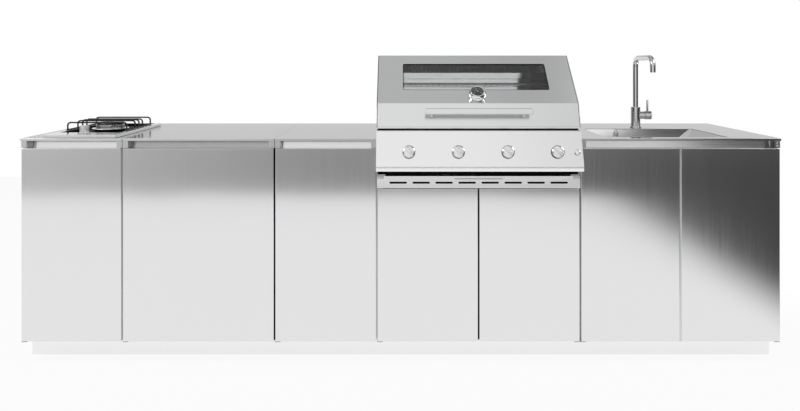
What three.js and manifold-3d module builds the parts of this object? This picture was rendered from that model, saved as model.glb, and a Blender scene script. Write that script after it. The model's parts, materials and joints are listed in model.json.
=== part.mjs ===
import * as THREE from 'three';
import { mergeVertices } from 'three/addons/utils/BufferGeometryUtils.js';
import Module from 'manifold-3d';

// Outdoor kitchen island: five sheet-steel cabinets in one row, with a side burner, a hooded gas grill
// and a sink. Millimetres. X runs along the row, Y from the front to the back, Z up from the floor.
// The origin is on the floor, under the middle of the row. Heights are above the floor.

const wasm = await Module();
wasm.setup();

// Fits and facets
const seatGap = 0.3; // between pieces that touch
const overrun = 5; // how far a cut runs past a face
const mergeDistance = 0.0001; // corners closer than this are one corner
const roundSides = 24;
const rodSides = 12;
const wireSides = 6;
const bendSteps = 4;

// The row
const hobCabinetWidth = 400;
const wideCabinetWidth = 602;
const narrowCabinetWidth = 404;
const grillCabinetWidth = 804;
const sinkCabinetWidth = 790;
const rowDepth = 650;
const worktopHeight = 885;
const worktopThickness = 10;
const worktopEndOverhang = 4;
const cabinetGap = 1; // between neighbouring cabinets
const sheet = 2; // cabinet and worktop sheet

// Plinth
const plinthHeight = 80;
const plinthSetback = 76; // behind the door fronts
const plinthBackSetback = 20;
const plinthEndInset = 5;
const plinthSheet = 3;
const plinthFlange = 40;

// Doors and their pivots
const doorThickness = 20;
const doorGap = 6; // between neighbouring doors
const doorStandOff = 3; // door back to cabinet front
const doorSkin = 1.5;
const doorTopDrop = 40; // below the worktop's top
const doorBottom = 83;
const grillDoorGap = 2.5; // grill door to vent rail
const pivotInset = 6.5; // pivot axis from the door's edge and from its front face
const pivotRodRadius = 3;
const pivotSocketDepth = 13;

// Folded edges, posts and finger rail of a cabinet
const postWidth = 22;
const postSetback = 2; // behind the door fronts
const postGap = 2; // door top to post
const lap = 0.5; // a joined piece's face inside the face of the sheet that it joins
const tongueLap = 20; // pivot tongue under the cabinet
const fingerRecess = 42; // door fronts to the finger rail
const fingerRailDrop = 58;
const backStretcherDepth = 45;

// Grill cabinet and vent rail
const ventRailDrop = 196.5; // worktop's top to the rail's bottom
const ventRailHeight = 47.5;
const ventSlotCount = 8;
const ventEndMargin = 49.2; // rail end to first slot
const ventSlotWidth = 8;
const ventSlotGap = 21.8;
const ventSlotHeight = 21.5; // rail bottom to slot centre
const supportFlangeWidth = 20;
const rearDeckDepth = 109;
const trayRunnerWidth = 31;
const trayRunnerGap = 2.4; // vent rail to runner
const trayRunnerLength = 500;

// Firebox
const fireboxSideInset = 26; // cabinet side to firebox side
const fireboxFrontInset = 53; // door fronts to firebox front
const fireboxDepth = 458;
const fireboxDrop = 123; // worktop's top to the firebox's bottom
const fireboxSheet = 2;
const rimFrontSetback = 7;
const skirtRearGap = 3; // skirt to rear deck
const grateLedgeRise = 7.7; // above the worktop
const grateLedgeWidth = 15;
const greaseSlotLength = 200;
const greaseSlotWidth = 100;
const hingeEarThickness = 4;
const hingeEarReach = 18; // in front of the hinge axis
const hingeEarRadius = 8.5; // round the hinge axis
const hingeEarInset = 4; // hood side sheet to ear

// Control fascia
const fasciaTopRise = 29; // above the worktop
const fasciaBendDrop = 129; // fascia's top to its bend
const fasciaReturnDrop = 24; // bend to the fascia's bottom
const fasciaReach = 47; // bend in front of the door fronts
const fasciaFrontGap = 0.5; // fascia to the worktops beside it
const fasciaRoll = 4;
const fasciaSheet = 2;
const fasciaReturnDepth = 30;
const fasciaReturnInset = 5;

// Hood, with its side profile from the lip backwards
const hoodSideOverhang = 2; // past the grill cabinet's side
const hoodLipGap = 10; // fascia's top to the lip
const hoodLowerRun = 31;
const hoodLowerRise = 98;
const hoodUpperRun = 199;
const hoodUpperRise = 192;
const hoodRoofRun = 135;
const hoodRearRun = 162;
const hoodRearDrop = 124;
const hoodSheet = 2;
const hoodPivotInset = 12; // axis in front of the hood's back
const hoodPivotRise = 16; // axis above the lip
const hoodRodRadius = 4;
const hoodRodProud = 1.5;

// Hood window
const windowLength = 597;
const windowWidth = 152;
const windowUp = 73; // crease to window
const windowCorner = 8;
const glassThickness = 4;
const glassLap = 12;

// Hood handle
const handleLength = 421;
const handleHeight = 22;
const handleDepth = 12;
const handleCorner = 4;
const handleUp = 58.8; // lip to handle centre, along the panel
const handleStandOff = 42.7; // panel to handle centre
const handlePostRadius = 7;
const handlePostInset = 26;

// Thermometer on the hood
const thermometerUp = 36; // crease to centre, along the panel
const thermometerBaseRadius = 35;
const thermometerBaseThickness = 3;
const thermometerNeckRadius = 30;
const thermometerNeckLength = 12;
const bezelRadius = 28;
const bezelLength = 18;
const bezelRimWidth = 3.5;
const dialRecess = 3;
const dialThickness = 1;
const needleLength = 17;
const needleWidth = 1.6;
const needleThickness = 0.8;
const needleTurn = -0.9; // radians from the dial's up line
const probeRadius = 5;
const probeLength = 60;

// Knobs and ignition button on the fascia
const knobDrop = 79; // fascia's top to the knobs' axes
const knobShares = [-0.6832, -0.2038, 0.2756, 0.755]; // of half the hood's width, from its middle
const knobSkirtRadius = 25;
const knobSkirtThickness = 8;
const knobBodyRadius = 20;
const knobBodyThickness = 7;
const knobGripWidth = 11;
const knobGripHeight = 10;
const knobGripEndGap = 2; // grip end inside the skirt's edge
const knobClearance = 3; // fascia to knob
const spindleRadius = 4;
const spindleReach = 9; // into the knob
const buttonInset = 22; // hood side to button
const buttonDrop = 83; // fascia's top to the button's axis
const buttonRadius = 11;
const buttonThickness = 6;
const buttonTravelGap = 4.5; // button to fascia
const buttonStemRadius = 5;
const buttonStemLength = 22;

// Gas manifold and burners
const manifoldDepth = 38; // fascia to pipe axis
const manifoldRadius = 10;
const manifoldEndInset = 72; // hood side to pipe end
const spudRadius = 4;
const spudLength = 34;
const burnerRadius = 12;
const burnerWall = 2.5;
const burnerMouth = 18; // in front of the firebox

// Grate, hotplate and warming rack
const grateThickness = 12;
const grateFrameWidth = 12;
const grateBarWidth = 7;
const grateBarCount = 15;
const grateSideGap = 2;
const hotplateSheet = 5;
const hotplateRimWidth = 6;
const rackRise = 161; // above the hood's lip
const rackRailRadius = 3;
const rackWireRadius = 2;
const rackWireCount = 26;
const rackFront = 385; // door fronts to front rail
const rackDepth = 105;
const rackInset = 18; // hood side to rack end
const rackBendRadius = 12;

// Drip tray
const trayHeight = 18;
const traySheet = 1.5;
const trayFrontSetback = 29;
const trayDepth = 456;
const traySideGap = 21.5; // cabinet side sheet to tray

// Side burner
const hobPlateWidth = 290;
const hobPlateDepth = 510;
const hobPlateThickness = 13;
const hobPlateFrontSetback = 12;
const hobCentreShift = 27; // right of the cabinet's middle
const spillTrayWidth = 245;
const spillTrayDepth = 408;
const spillTrayFrontSetback = 99;
const spillTraySheet = 1.5;
const spillTrayWall = 11;
const hobCutoutLedge = 14;
const hobBurnerRadius = 76;
const hobBurnerBase = 9;
const hobBurnerCrownRadius = 60;
const hobBurnerHeight = 27;
const hobThroatRadius = 34;
const hobThroatLength = 36;
const hobCapRadius = 56;
const hobCapThickness = 10;
const hobCapDome = 3;
const hobKnobRadius = 19.5;
const hobKnobThickness = 31;
const hobKnobFrontSetback = 70;
const hobKnobShift = -7; // from the hob's middle
const hobKnobStemLength = 8;
const hobKnobTaper = 2;
const trivetWidth = 248;
const trivetRise = 51; // above the worktop
const trivetWireRadius = 3.25;
const trivetBendRadius = 12;
const trivetWireProud = 6; // side wires past the end arches
const trivetArchShares = [-0.652, -0.206, 0.01, 0.206, 0.676]; // of half the spill tray's depth

// Sink bowl and waste
const bowlWidth = 493;
const bowlDepth = 357;
const bowlShift = -33.5; // from the sink cabinet's middle
const bowlFrontSetback = 40;
const bowlBevelRun = 44;
const bowlBevelDrop = 40;
const bowlDraft = 8;
const bowlHeight = 180;
const bowlSheet = 1.5;
const bowlFlange = 18;
const bowlCorner = 12;
const bowlLowerCorner = 40;
const bowlCornerSteps = 4;
const drainRadius = 45;
const strainerFlangeRadius = 52;
const strainerFlange = 2;
const strainerDishRadius = 38;
const strainerDish = 14;
const strainerLength = 28;
const tailRadius = 20;
const tailLength = 75;
const trapRadius = 38;
const trapHeight = 115;
const trapSocket = 22;
const wasteRadius = 16;
const wasteDrop = 42; // trap top to waste pipe axis

// Tap
const tapShift = 1078;
const tapSetback = 42; // bowl's rear edge to the tap's axis
const tapFlangeRadius = 25;
const tapFlange = 6;
const tapRadius = 21;
const tapHeight = 95;
const tapShankRadius = 15;
const tapShankLength = 40;
const spoutRadius = 11.75;
const spoutStemRadius = 8;
const spoutStemLength = 18;
const spoutRise = 331; // above the worktop
const spoutReach = 215;
const spoutDrop = 73; // spout's top to its tip
const spoutBendRadius = 38;
const spoutBore = 8;
const spoutBoreDepth = 25;
const valveRise = 57; // above the worktop
const valveRadius = 17;
const valveLength = 40; // tap axis to valve end
const capRadius = 19;
const capLength = 30;
const leverPlace = 54; // tap axis to lever
const leverRadius = 5;
const leverRise = 71; // valve's axis to the lever's top
const leverSlotReach = 12;
const leverSink = 5; // pivot below the cap's top

// Values that the cabinets and what stands on them share
const cabinetWidths = [
  hobCabinetWidth,
  wideCabinetWidth,
  narrowCabinetWidth,
  grillCabinetWidth,
  sinkCabinetWidth,
];
const rowWidth = cabinetWidths.reduce((sum, width) => sum + width, 0);
const front = -rowDepth / 2;
const back = rowDepth / 2;
const cabinetBottom = plinthHeight + seatGap;
const cabinetFront = front + doorThickness + doorStandOff;
const underWorktop = worktopHeight - worktopThickness;
const cabinetTop = underWorktop - seatGap;
const fingerRailY = front + fingerRecess;
const fingerRailBottom = underWorktop - fingerRailDrop;
const onWorktop = worktopHeight + seatGap;
const bowlY = front + bowlFrontSetback + bowlDepth / 2;
const tapY = bowlY + bowlDepth / 2 + tapSetback;
const hobCentre = cabinetCentre(0) + hobCentreShift;
const doorTop = worktopHeight - doorTopDrop;
const ventRailBottom = worktopHeight - ventRailDrop;
const ventRailTop = ventRailBottom + ventRailHeight;
const grillDoorTop = ventRailBottom - grillDoorGap;
const trayRunnerHeight = ventRailTop + trayRunnerGap;
const fireboxBottom = worktopHeight - fireboxDrop;
const grateLedgeHeight = worktopHeight + grateLedgeRise;
const fasciaTop = worktopHeight + fasciaTopRise;
const fasciaBend = fasciaTop - fasciaBendDrop;
const fasciaBottom = fasciaBend - fasciaReturnDrop;
const knobHeight = fasciaTop - knobDrop;
const buttonHeight = fasciaTop - buttonDrop;
const hoodLip = fasciaTop + hoodLipGap;
const rackHeight = hoodLip + rackRise;
const trivetTop = worktopHeight + trivetRise;
const spoutTop = worktopHeight + spoutRise;
const spoutTip = spoutTop - spoutDrop;
const valveHeight = worktopHeight + valveRise;
const leverTop = valveHeight + leverRise;
const grillCentre = cabinetCentre(3);
const hoodWidth = grillCabinetWidth + hoodSideOverhang * 2;
const knobPlaces = knobShares.map((share) => (share * hoodWidth) / 2);
const buttonPlace = hoodWidth / 2 - buttonInset;
const hoodBack = front + hoodLowerRun + hoodUpperRun + hoodRoofRun + hoodRearRun;
const hoodPivotY = hoodBack - hoodPivotInset;
const hoodPivotZ = hoodLip + hoodPivotRise;
const rimBottom = fasciaTop + seatGap;
const rimTop = rimBottom + fireboxSheet;
const fireboxHalf = grillCabinetWidth / 2 - fireboxSideInset;
const fireboxFront = front + fireboxFrontInset;
const fireboxBack = fireboxFront + fireboxDepth;
const skirtHalf = grillCabinetWidth / 2 - cabinetGap / 2;
const rearDeckFront = back - rearDeckDepth;
const skirtBack = rearDeckFront - skirtRearGap;

// Slopes of the fascia and of the hood's two front panels, as radians up from level
const fasciaRun = fasciaReach - fasciaFrontGap;
const fasciaSlope = Math.atan2(fasciaBendDrop, fasciaRun);
const hoodLowerSlope = Math.atan2(hoodLowerRise, hoodLowerRun);
const hoodUpperSlope = Math.atan2(hoodUpperRise, hoodUpperRun);

// Finishes
const finishes = {
  brushedSteel: { color: 0xc6c8c9, roughness: 0.32, metalness: 1 },
  polishedSteel: { color: 0xd2d4d5, roughness: 0.18, metalness: 1 },
  innerSteel: { color: 0x9fa1a2, roughness: 0.5, metalness: 1 },
  chrome: { color: 0xdcdedf, roughness: 0.08, metalness: 1 },
  castIron: { color: 0x1f1f20, roughness: 0.7, metalness: 0.4 },
  enamel: { color: 0x1b1c1d, roughness: 0.25, metalness: 0 },
  dial: { color: 0x2a2b2c, roughness: 0.4, metalness: 0 },
  glass: { color: 0x3b3f41, roughness: 0.05, metalness: 0 },
  brass: { color: 0xb08d4c, roughness: 0.35, metalness: 1 },
  plastic: { color: 0xe4e5e6, roughness: 0.4, metalness: 0 },
};

const island = new THREE.Group();

// Tools

/** Middle of the cabinet at a place in the row. */
function cabinetCentre(place) {
  const left = cabinetWidths.slice(0, place).reduce((sum, width) => sum + width, 0);
  return left + cabinetWidths[place] / 2 - rowWidth / 2;
}

/** A closed three.js geometry as a solid that can be joined and cut. */
function solidOf(geometry) {
  const bare = geometry.clone();
  bare.deleteAttribute('normal');
  bare.deleteAttribute('uv');
  const merged = mergeVertices(bare, mergeDistance);
  const corners = merged.index.array;
  const triangles = [];
  for (let i = 0; i < corners.length; i += 3) {
    const [a, b, c] = corners.slice(i, i + 3);
    if (a !== b && b !== c && c !== a) {
      triangles.push(a, b, c);
    }
  }
  return new wasm.Manifold(
    new wasm.Mesh({
      numProp: 3,
      vertProperties: merged.attributes.position.array,
      triVerts: Uint32Array.from(triangles),
    }),
  );
}

/** Put a solid into a group as a named mesh. */
function addPiece(group, name, solid, finish) {
  const mesh = solid.getMesh();
  const geometry = new THREE.BufferGeometry();
  geometry.setAttribute('position', new THREE.BufferAttribute(mesh.vertProperties, 3));
  geometry.setIndex(new THREE.BufferAttribute(mesh.triVerts, 1));
  geometry.computeVertexNormals();
  const piece = new THREE.Mesh(geometry, new THREE.MeshStandardMaterial(finish));
  piece.name = name;
  group.add(piece);
  return piece;
}

/** A group at a place in its parent, leaned back about X by an angle in radians. */
function placedGroup(parent, x, y, z, lean = 0) {
  const group = new THREE.Group();
  group.position.set(x, y, z);
  group.rotation.x = lean;
  parent.add(group);
  return group;
}

/** Join solids. */
function join(...solids) {
  return solids.reduce((whole, solid) => whole.add(solid));
}

/** Cut tools out of a solid. */
function cut(solid, ...tools) {
  return tools.reduce((rest, tool) => rest.subtract(tool), solid);
}

/** A box from its reach along X, Y and Z, each as two ends in either order. */
function block(xEnds, yEnds, zEnds) {
  const geometry = new THREE.BoxGeometry();
  const corners = geometry.attributes.position;
  const reach = [xEnds, yEnds, zEnds].map(([a, b]) => [Math.min(a, b), Math.max(a, b)]);
  for (let i = 0; i < corners.count; i += 1) {
    const place = reach.map(([low, high], axis) => (corners.getComponent(i, axis) < 0 ? low : high));
    corners.setXYZ(i, ...place);
  }
  return solidOf(geometry);
}

/** A straight round bar between two points. */
function bar(radius, from, to, sides = rodSides) {
  const start = new THREE.Vector3(...from);
  const along = new THREE.Vector3(...to).sub(start);
  const geometry = new THREE.CylinderGeometry(radius, radius, along.length(), sides);
  geometry.translate(0, along.length() / 2, 0);
  const turn = new THREE.Quaternion().setFromUnitVectors(new THREE.Vector3(0, 1, 0), along.normalize());
  geometry.applyQuaternion(turn);
  return solidOf(geometry.translate(start.x, start.y, start.z));
}

/** A turned piece about an upright axis, from its profile of [radius, height] points. */
function turned(profile, x = 0, y = 0, sides = roundSides) {
  const points = profile.map(([radius, height]) => new THREE.Vector2(radius, height));
  const geometry = new THREE.LatheGeometry(points, sides);
  geometry.rotateX(Math.PI / 2);
  return solidOf(geometry.translate(x, y, 0));
}

/** A side profile of [Y, Z] points, drawn out along X. */
function prism(profile, [left, right]) {
  const shape = new THREE.Shape(profile.map(([y, z]) => new THREE.Vector2(y, z)));
  const geometry = new THREE.ExtrudeGeometry(shape, { depth: right - left, bevelEnabled: false });
  const turn = new THREE.Matrix4().makeBasis(
    new THREE.Vector3(0, 1, 0),
    new THREE.Vector3(0, 0, 1),
    new THREE.Vector3(1, 0, 0),
  );
  return solidOf(geometry.applyMatrix4(turn).translate(left, 0, 0));
}

/** A closed side profile with each edge moved inwards by its own distance. The profile runs clockwise. */
function insetProfile(profile, distances) {
  const edges = profile.map(([y, z], i) => {
    const [nextY, nextZ] = profile[(i + 1) % profile.length];
    const along = new THREE.Vector2(nextY - y, nextZ - z).normalize();
    const inwards = new THREE.Vector2(along.y, -along.x);
    return { start: new THREE.Vector2(y, z).addScaledVector(inwards, distances[i]), along };
  });
  return edges.map((edge, i) => {
    const before = edges[(i + edges.length - 1) % edges.length];
    const gap = edge.start.clone().sub(before.start);
    const reach = gap.cross(edge.along) / before.along.cross(edge.along);
    const corner = before.start.clone().addScaledVector(before.along, reach);
    return [corner.x, corner.y];
  });
}

/** A rectangle with round corners, as a flat shape about a middle point. */
function roundedRectangle(length, width, corner, x = 0, y = 0) {
  const shape = new THREE.Shape();
  const right = x + length / 2;
  const left = x - length / 2;
  const top = y + width / 2;
  const bottom = y - width / 2;
  shape.absarc(right - corner, top - corner, corner, 0, Math.PI / 2);
  shape.absarc(left + corner, top - corner, corner, Math.PI / 2, Math.PI);
  shape.absarc(left + corner, bottom + corner, corner, Math.PI, Math.PI * 1.5);
  shape.absarc(right - corner, bottom + corner, corner, Math.PI * 1.5, Math.PI * 2);
  return shape;
}

/** A flat shape in X and Y, drawn out along Z. */
function plate(shape, [low, high]) {
  const settings = { depth: high - low, bevelEnabled: false, curveSegments: bendSteps };
  return solidOf(new THREE.ExtrudeGeometry(shape, settings).translate(0, 0, low));
}

/** A route through corner points, with a round bend at each inner corner. */
class BentRoute extends THREE.Curve {
  constructor(corners, bendRadius) {
    super();
    const points = corners.map((corner) => new THREE.Vector3(...corner));
    this.points = [points[0]];
    for (let i = 1; i < points.length - 1; i += 1) {
      this.points.push(...bendPoints(points[i - 1], points[i], points[i + 1], bendRadius));
    }
    this.points.push(points.at(-1));
  }

  getUtoTmapping(share) {
    return share;
  }

  getPoint(share, target = new THREE.Vector3()) {
    const place = Math.min(Math.max(share, 0), 1) * (this.points.length - 1);
    const start = Math.min(Math.floor(place), this.points.length - 2);
    return target.lerpVectors(this.points[start], this.points[start + 1], place - start);
  }
}

/** Points of the round bend at a corner between two neighbours. */
function bendPoints(before, corner, after, bendRadius) {
  const toBefore = before.clone().sub(corner).normalize();
  const toAfter = after.clone().sub(corner).normalize();
  const halfAngle = toBefore.angleTo(toAfter) / 2;
  const tangent = bendRadius / Math.tan(halfAngle);
  const middle = toBefore.clone().add(toAfter).normalize();
  const centre = corner.clone().addScaledVector(middle, bendRadius / Math.sin(halfAngle));
  const first = corner.clone().addScaledVector(toBefore, tangent).sub(centre);
  const last = corner.clone().addScaledVector(toAfter, tangent).sub(centre);
  const sweep = first.angleTo(last);
  return Array.from({ length: bendSteps + 1 }, (_, step) => {
    const angle = (sweep * step) / bendSteps;
    const point = centre.clone().addScaledVector(first, Math.sin(sweep - angle) / Math.sin(sweep));
    return point.addScaledVector(last, Math.sin(angle) / Math.sin(sweep));
  });
}

/** A round wire or tube along a bent route. */
function bentRod(radius, corners, bendRadius, sides = wireSides) {
  const route = new BentRoute(corners, bendRadius);
  const section = new THREE.Shape(
    Array.from({ length: sides }, (_, i) => {
      const angle = (Math.PI * 2 * i) / sides;
      return new THREE.Vector2(radius * Math.cos(angle), radius * Math.sin(angle));
    }),
  );
  const settings = { steps: route.points.length - 1, extrudePath: route, bevelEnabled: false };
  return solidOf(new THREE.ExtrudeGeometry(section, settings));
}

// Plinth and cabinets

/** The low frame: a C section round the edge and I sections across, one of them over the origin. */
function addPlinth() {
  const half = rowWidth / 2 - plinthEndInset;
  const frontY = front + plinthSetback;
  const backY = back - plinthBackSetback;
  const seams = [0, 1, 3].map((place) => cabinetCentre(place) + cabinetWidths[place] / 2);
  const webs = [plinthSheet / 2 - half, seams[0], seams[1], 0, seams[2], half - plinthSheet / 2];
  const cells = webs.slice(1).flatMap((right, i) => {
    const left = webs[i];
    const throughGap = block(
      [left + plinthFlange / 2, right - plinthFlange / 2],
      [frontY + plinthFlange, backY - plinthFlange],
      [-overrun, plinthHeight + overrun],
    );
    const channel = block(
      [left + plinthSheet / 2, right - plinthSheet / 2],
      [frontY + plinthSheet, backY - plinthSheet],
      [plinthSheet, plinthHeight - plinthSheet],
    );
    return [throughGap, channel];
  });
  const plinth = cut(block([-half, half], [frontY, backY], [0, plinthHeight]), ...cells);
  addPiece(island, 'plinth', plinth, finishes.brushedSteel);
}

/** An open-fronted cabinet in sheet, with folded front edges up to a height and a tongue for each pivot. */
function cabinetBox(width, edgeTop, pivotSides) {
  const half = width / 2 - cabinetGap / 2;
  const outside = block([-half, half], [cabinetFront, back], [cabinetBottom, cabinetTop]);
  const inside = block(
    [-half + sheet, half - sheet],
    [cabinetFront - overrun, back - sheet],
    [cabinetBottom + sheet, cabinetTop + overrun],
  );
  const edges = [-1, 1].map((side) =>
    block(
      [side * (half - sheet / 2), side * (half - postWidth)],
      [cabinetFront + lap, cabinetFront + lap + sheet],
      [cabinetBottom + sheet / 2, edgeTop],
    ),
  );
  const tongues = pivotSides.map((side) =>
    block(
      [side * (half - lap), side * (half - postWidth)],
      [front + postSetback, cabinetFront + tongueLap],
      [cabinetBottom - sheet / 2, cabinetBottom + sheet / 2],
    ),
  );
  return join(cut(outside, inside), ...edges, ...tongues);
}

/** Place of a door's pivot axis in X, from the middle of its cabinet. */
function pivotX(width, side) {
  return side * (width / 2 - doorGap / 2 - pivotInset);
}

/** The hole that a pivot rod stands in. */
function pivotHole(width, side, top) {
  const x = pivotX(width, side);
  const y = front + pivotInset;
  return bar(pivotRodRadius + seatGap, [x, y, cabinetBottom - overrun], [x, y, top]);
}

/** A counter cabinet: box, finger rail with its ledge, posts over the doors and a back stretcher. */
function counterCabinet(width, pivotSides) {
  const half = width / 2 - cabinetGap / 2;
  const postBottom = doorTop + postGap;
  const insideReach = [-half + sheet / 2, half - sheet / 2];
  const posts = [-1, 1].map((side) =>
    block(
      [side * (half - lap), side * (half - postWidth)],
      [front + postSetback, fingerRailY + sheet / 2],
      [postBottom, cabinetTop - lap],
    ),
  );
  const railTop = cabinetTop - lap * 2;
  const rail = block(insideReach, [fingerRailY, fingerRailY + sheet], [fingerRailBottom, railTop]);
  const ledgeBottom = fingerRailBottom + lap;
  const ledge = block(
    insideReach,
    [cabinetFront + lap * 2, fingerRailY + sheet / 2],
    [ledgeBottom, ledgeBottom + sheet],
  );
  const stretcher = block(
    insideReach,
    [back - backStretcherDepth, back - sheet / 2],
    [cabinetTop - lap - sheet, cabinetTop - lap],
  );
  const box = cabinetBox(width, ledgeBottom + sheet / 2, pivotSides);
  const whole = join(box, rail, ledge, ...posts, stretcher);
  const holes = pivotSides.map((side) => pivotHole(width, side, postBottom + pivotSocketDepth));
  return cut(whole, ...holes);
}

/** A hollow door round its own pivot axis. It hangs on its left or right edge, side -1 or 1. */
function doorSolid(doorWidth, top, side) {
  const edge = side * pivotInset;
  const farEdge = edge - side * doorWidth;
  const yEnds = [-pivotInset, doorThickness - pivotInset];
  const outside = block([edge, farEdge], yEnds, [doorBottom, top]);
  const inside = block(
    [edge - side * doorSkin, farEdge + side * doorSkin],
    [yEnds[0] + doorSkin, yEnds[1] - doorSkin],
    [doorBottom + doorSkin, top - doorSkin],
  );
  const hole = bar(pivotRodRadius + seatGap, [0, 0, doorBottom - overrun], [0, 0, top + overrun]);
  return cut(outside, inside, hole);
}

/** Hang doors in a cabinet, each with its pivot rod. */
function hangDoors(group, width, names, top, socketTop) {
  const sides = names.length === 1 ? [-1] : [-1, 1];
  const doorWidth = width / names.length - doorGap;
  sides.forEach((side, i) => {
    const x = pivotX(width, side);
    const y = front + pivotInset;
    const hinge = placedGroup(group, x, y, 0);
    addPiece(hinge, `door_${names[i]}`, doorSolid(doorWidth, top, side), finishes.brushedSteel);
    const rod = bar(pivotRodRadius, [0, 0, cabinetBottom], [0, 0, socketTop - seatGap]);
    addPiece(hinge, `pivot_rod_${names[i]}`, rod, finishes.innerSteel);
  });
}

/** A worktop with folded edges, hollow from below, with its overhang at each end. */
function worktopSolid(width, leftOverhang, rightOverhang) {
  const left = -width / 2 + cabinetGap / 2 - leftOverhang;
  const right = width / 2 - cabinetGap / 2 + rightOverhang;
  const outside = block([left, right], [front, back], [underWorktop, worktopHeight]);
  const inside = block(
    [left + sheet, right - sheet],
    [front + sheet, back - sheet],
    [underWorktop - overrun, worktopHeight - sheet],
  );
  return cut(outside, inside);
}

/** A counter cabinet with its doors, in a group of its own. */
function addCounter(place, name, doorNames) {
  const width = cabinetWidths[place];
  const group = placedGroup(island, cabinetCentre(place), 0, 0);
  const pivotSides = doorNames.length === 1 ? [-1] : [-1, 1];
  addPiece(group, `cabinet_${name}`, counterCabinet(width, pivotSides), finishes.brushedSteel);
  hangDoors(group, width, doorNames, doorTop, doorTop + postGap + pivotSocketDepth);
  return group;
}

function addHobCabinet() {
  const group = addCounter(0, 'hob', ['hob']);
  const cutoutHalf = spillTrayWidth / 2 - hobCutoutLedge;
  const trayFront = front + spillTrayFrontSetback;
  const cutout = block(
    [hobCentreShift - cutoutHalf, hobCentreShift + cutoutHalf],
    [trayFront + hobCutoutLedge, trayFront + spillTrayDepth - hobCutoutLedge],
    [underWorktop - overrun, worktopHeight + overrun],
  );
  const top = cut(worktopSolid(hobCabinetWidth, worktopEndOverhang, 0), cutout);
  addPiece(group, 'worktop_hob', top, finishes.polishedSteel);
}

function addWideCabinet() {
  const group = addCounter(1, 'wide', ['wide']);
  addPiece(group, 'worktop_wide', worktopSolid(wideCabinetWidth, 0, 0), finishes.polishedSteel);
}

function addNarrowCabinet() {
  const group = addCounter(2, 'narrow', ['narrow']);
  addPiece(group, 'worktop_narrow', worktopSolid(narrowCabinetWidth, 0, 0), finishes.polishedSteel);
}

function addSinkCabinet() {
  const group = addCounter(4, 'sink', ['sink_left', 'sink_right']);
  const opening = plate(roundedRectangle(bowlWidth, bowlDepth, bowlCorner, bowlShift, bowlY), [
    underWorktop - overrun,
    worktopHeight + overrun,
  ]);
  const tapX = tapShift - cabinetCentre(4);
  const tapHole = bar(
    tapShankRadius + seatGap,
    [tapX, tapY, underWorktop - overrun],
    [tapX, tapY, worktopHeight + overrun],
    roundSides,
  );
  const top = cut(worktopSolid(sinkCabinetWidth, 0, worktopEndOverhang), opening, tapHole);
  addPiece(group, 'worktop_sink', top, finishes.polishedSteel);
}

/** The grill cabinet, open at the front over the vent rail, with support flanges, runners and a rear deck. */
function addGrillCabinet() {
  const group = placedGroup(island, grillCentre, 0, 0);
  const half = skirtHalf;
  const edgeTop = ventRailTop;
  const supports = [-1, 1].map((side) =>
    block(
      [side * (half - sheet / 2), side * (half - supportFlangeWidth)],
      [cabinetFront + lap, rearDeckFront + sheet / 2],
      [cabinetTop - lap - sheet, cabinetTop - lap],
    ),
  );
  const runners = [-1, 1].map((side) =>
    block(
      [side * (half - sheet / 2), side * (half - sheet - trayRunnerWidth)],
      [cabinetFront + lap, cabinetFront + trayRunnerLength],
      [trayRunnerHeight - sheet, trayRunnerHeight],
    ),
  );
  const deck = cut(
    block([-half + lap, half - lap], [rearDeckFront, back - lap], [cabinetTop - sheet * 2, worktopHeight]),
    block(
      [-half + sheet + lap, half - sheet - lap],
      [rearDeckFront + sheet, back - sheet - lap],
      [cabinetTop - overrun, worktopHeight - sheet],
    ),
  );
  const box = cabinetBox(grillCabinetWidth, edgeTop, [-1, 1]);
  const holes = [-1, 1].map((side) => pivotHole(grillCabinetWidth, side, grillDoorTop));
  const cabinet = cut(join(box, ...supports, ...runners, deck), ...holes);
  addPiece(group, 'cabinet_grill', cabinet, finishes.brushedSteel);
  const socketTop = ventRailBottom + pivotSocketDepth;
  hangDoors(group, grillCabinetWidth, ['grill_left', 'grill_right'], grillDoorTop, socketTop);
  addPiece(group, 'vent_rail', ventRailSolid(half, socketTop), finishes.brushedSteel);
}

/** The channel over the grill doors, with a row of slots and the upper sockets of the two pivots. */
function ventRailSolid(half, socketTop) {
  const railBack = cabinetFront - seatGap;
  const outside = block([-half, half], [front, railBack], [ventRailBottom, ventRailTop]);
  const inside = block(
    [-half + postWidth, half - postWidth],
    [front + sheet, railBack + overrun],
    [ventRailBottom + sheet, ventRailTop - sheet],
  );
  const slotZ = ventRailBottom + ventSlotHeight;
  const gaps = ventSlotGap * (ventSlotCount - 1);
  const slotLength = (2 * (half - ventEndMargin) - gaps) / ventSlotCount;
  const slots = Array.from({ length: ventSlotCount }, (_, i) => {
    const x = (i - (ventSlotCount - 1) / 2) * (slotLength + ventSlotGap);
    const reach = (slotLength - ventSlotWidth) / 2;
    const ends = [-1, 1].map((side) =>
      bar(
        ventSlotWidth / 2,
        [x + side * reach, front - overrun, slotZ],
        [x + side * reach, front + sheet + overrun, slotZ],
      ),
    );
    const middle = block(
      [x - reach, x + reach],
      [front - overrun, front + sheet + overrun],
      [slotZ - ventSlotWidth / 2, slotZ + ventSlotWidth / 2],
    );
    return join(middle, ...ends);
  });
  const sockets = [-1, 1].map((side) => pivotHole(grillCabinetWidth, side, socketTop));
  return cut(outside, inside, ...slots, ...sockets);
}

// Grill

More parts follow.
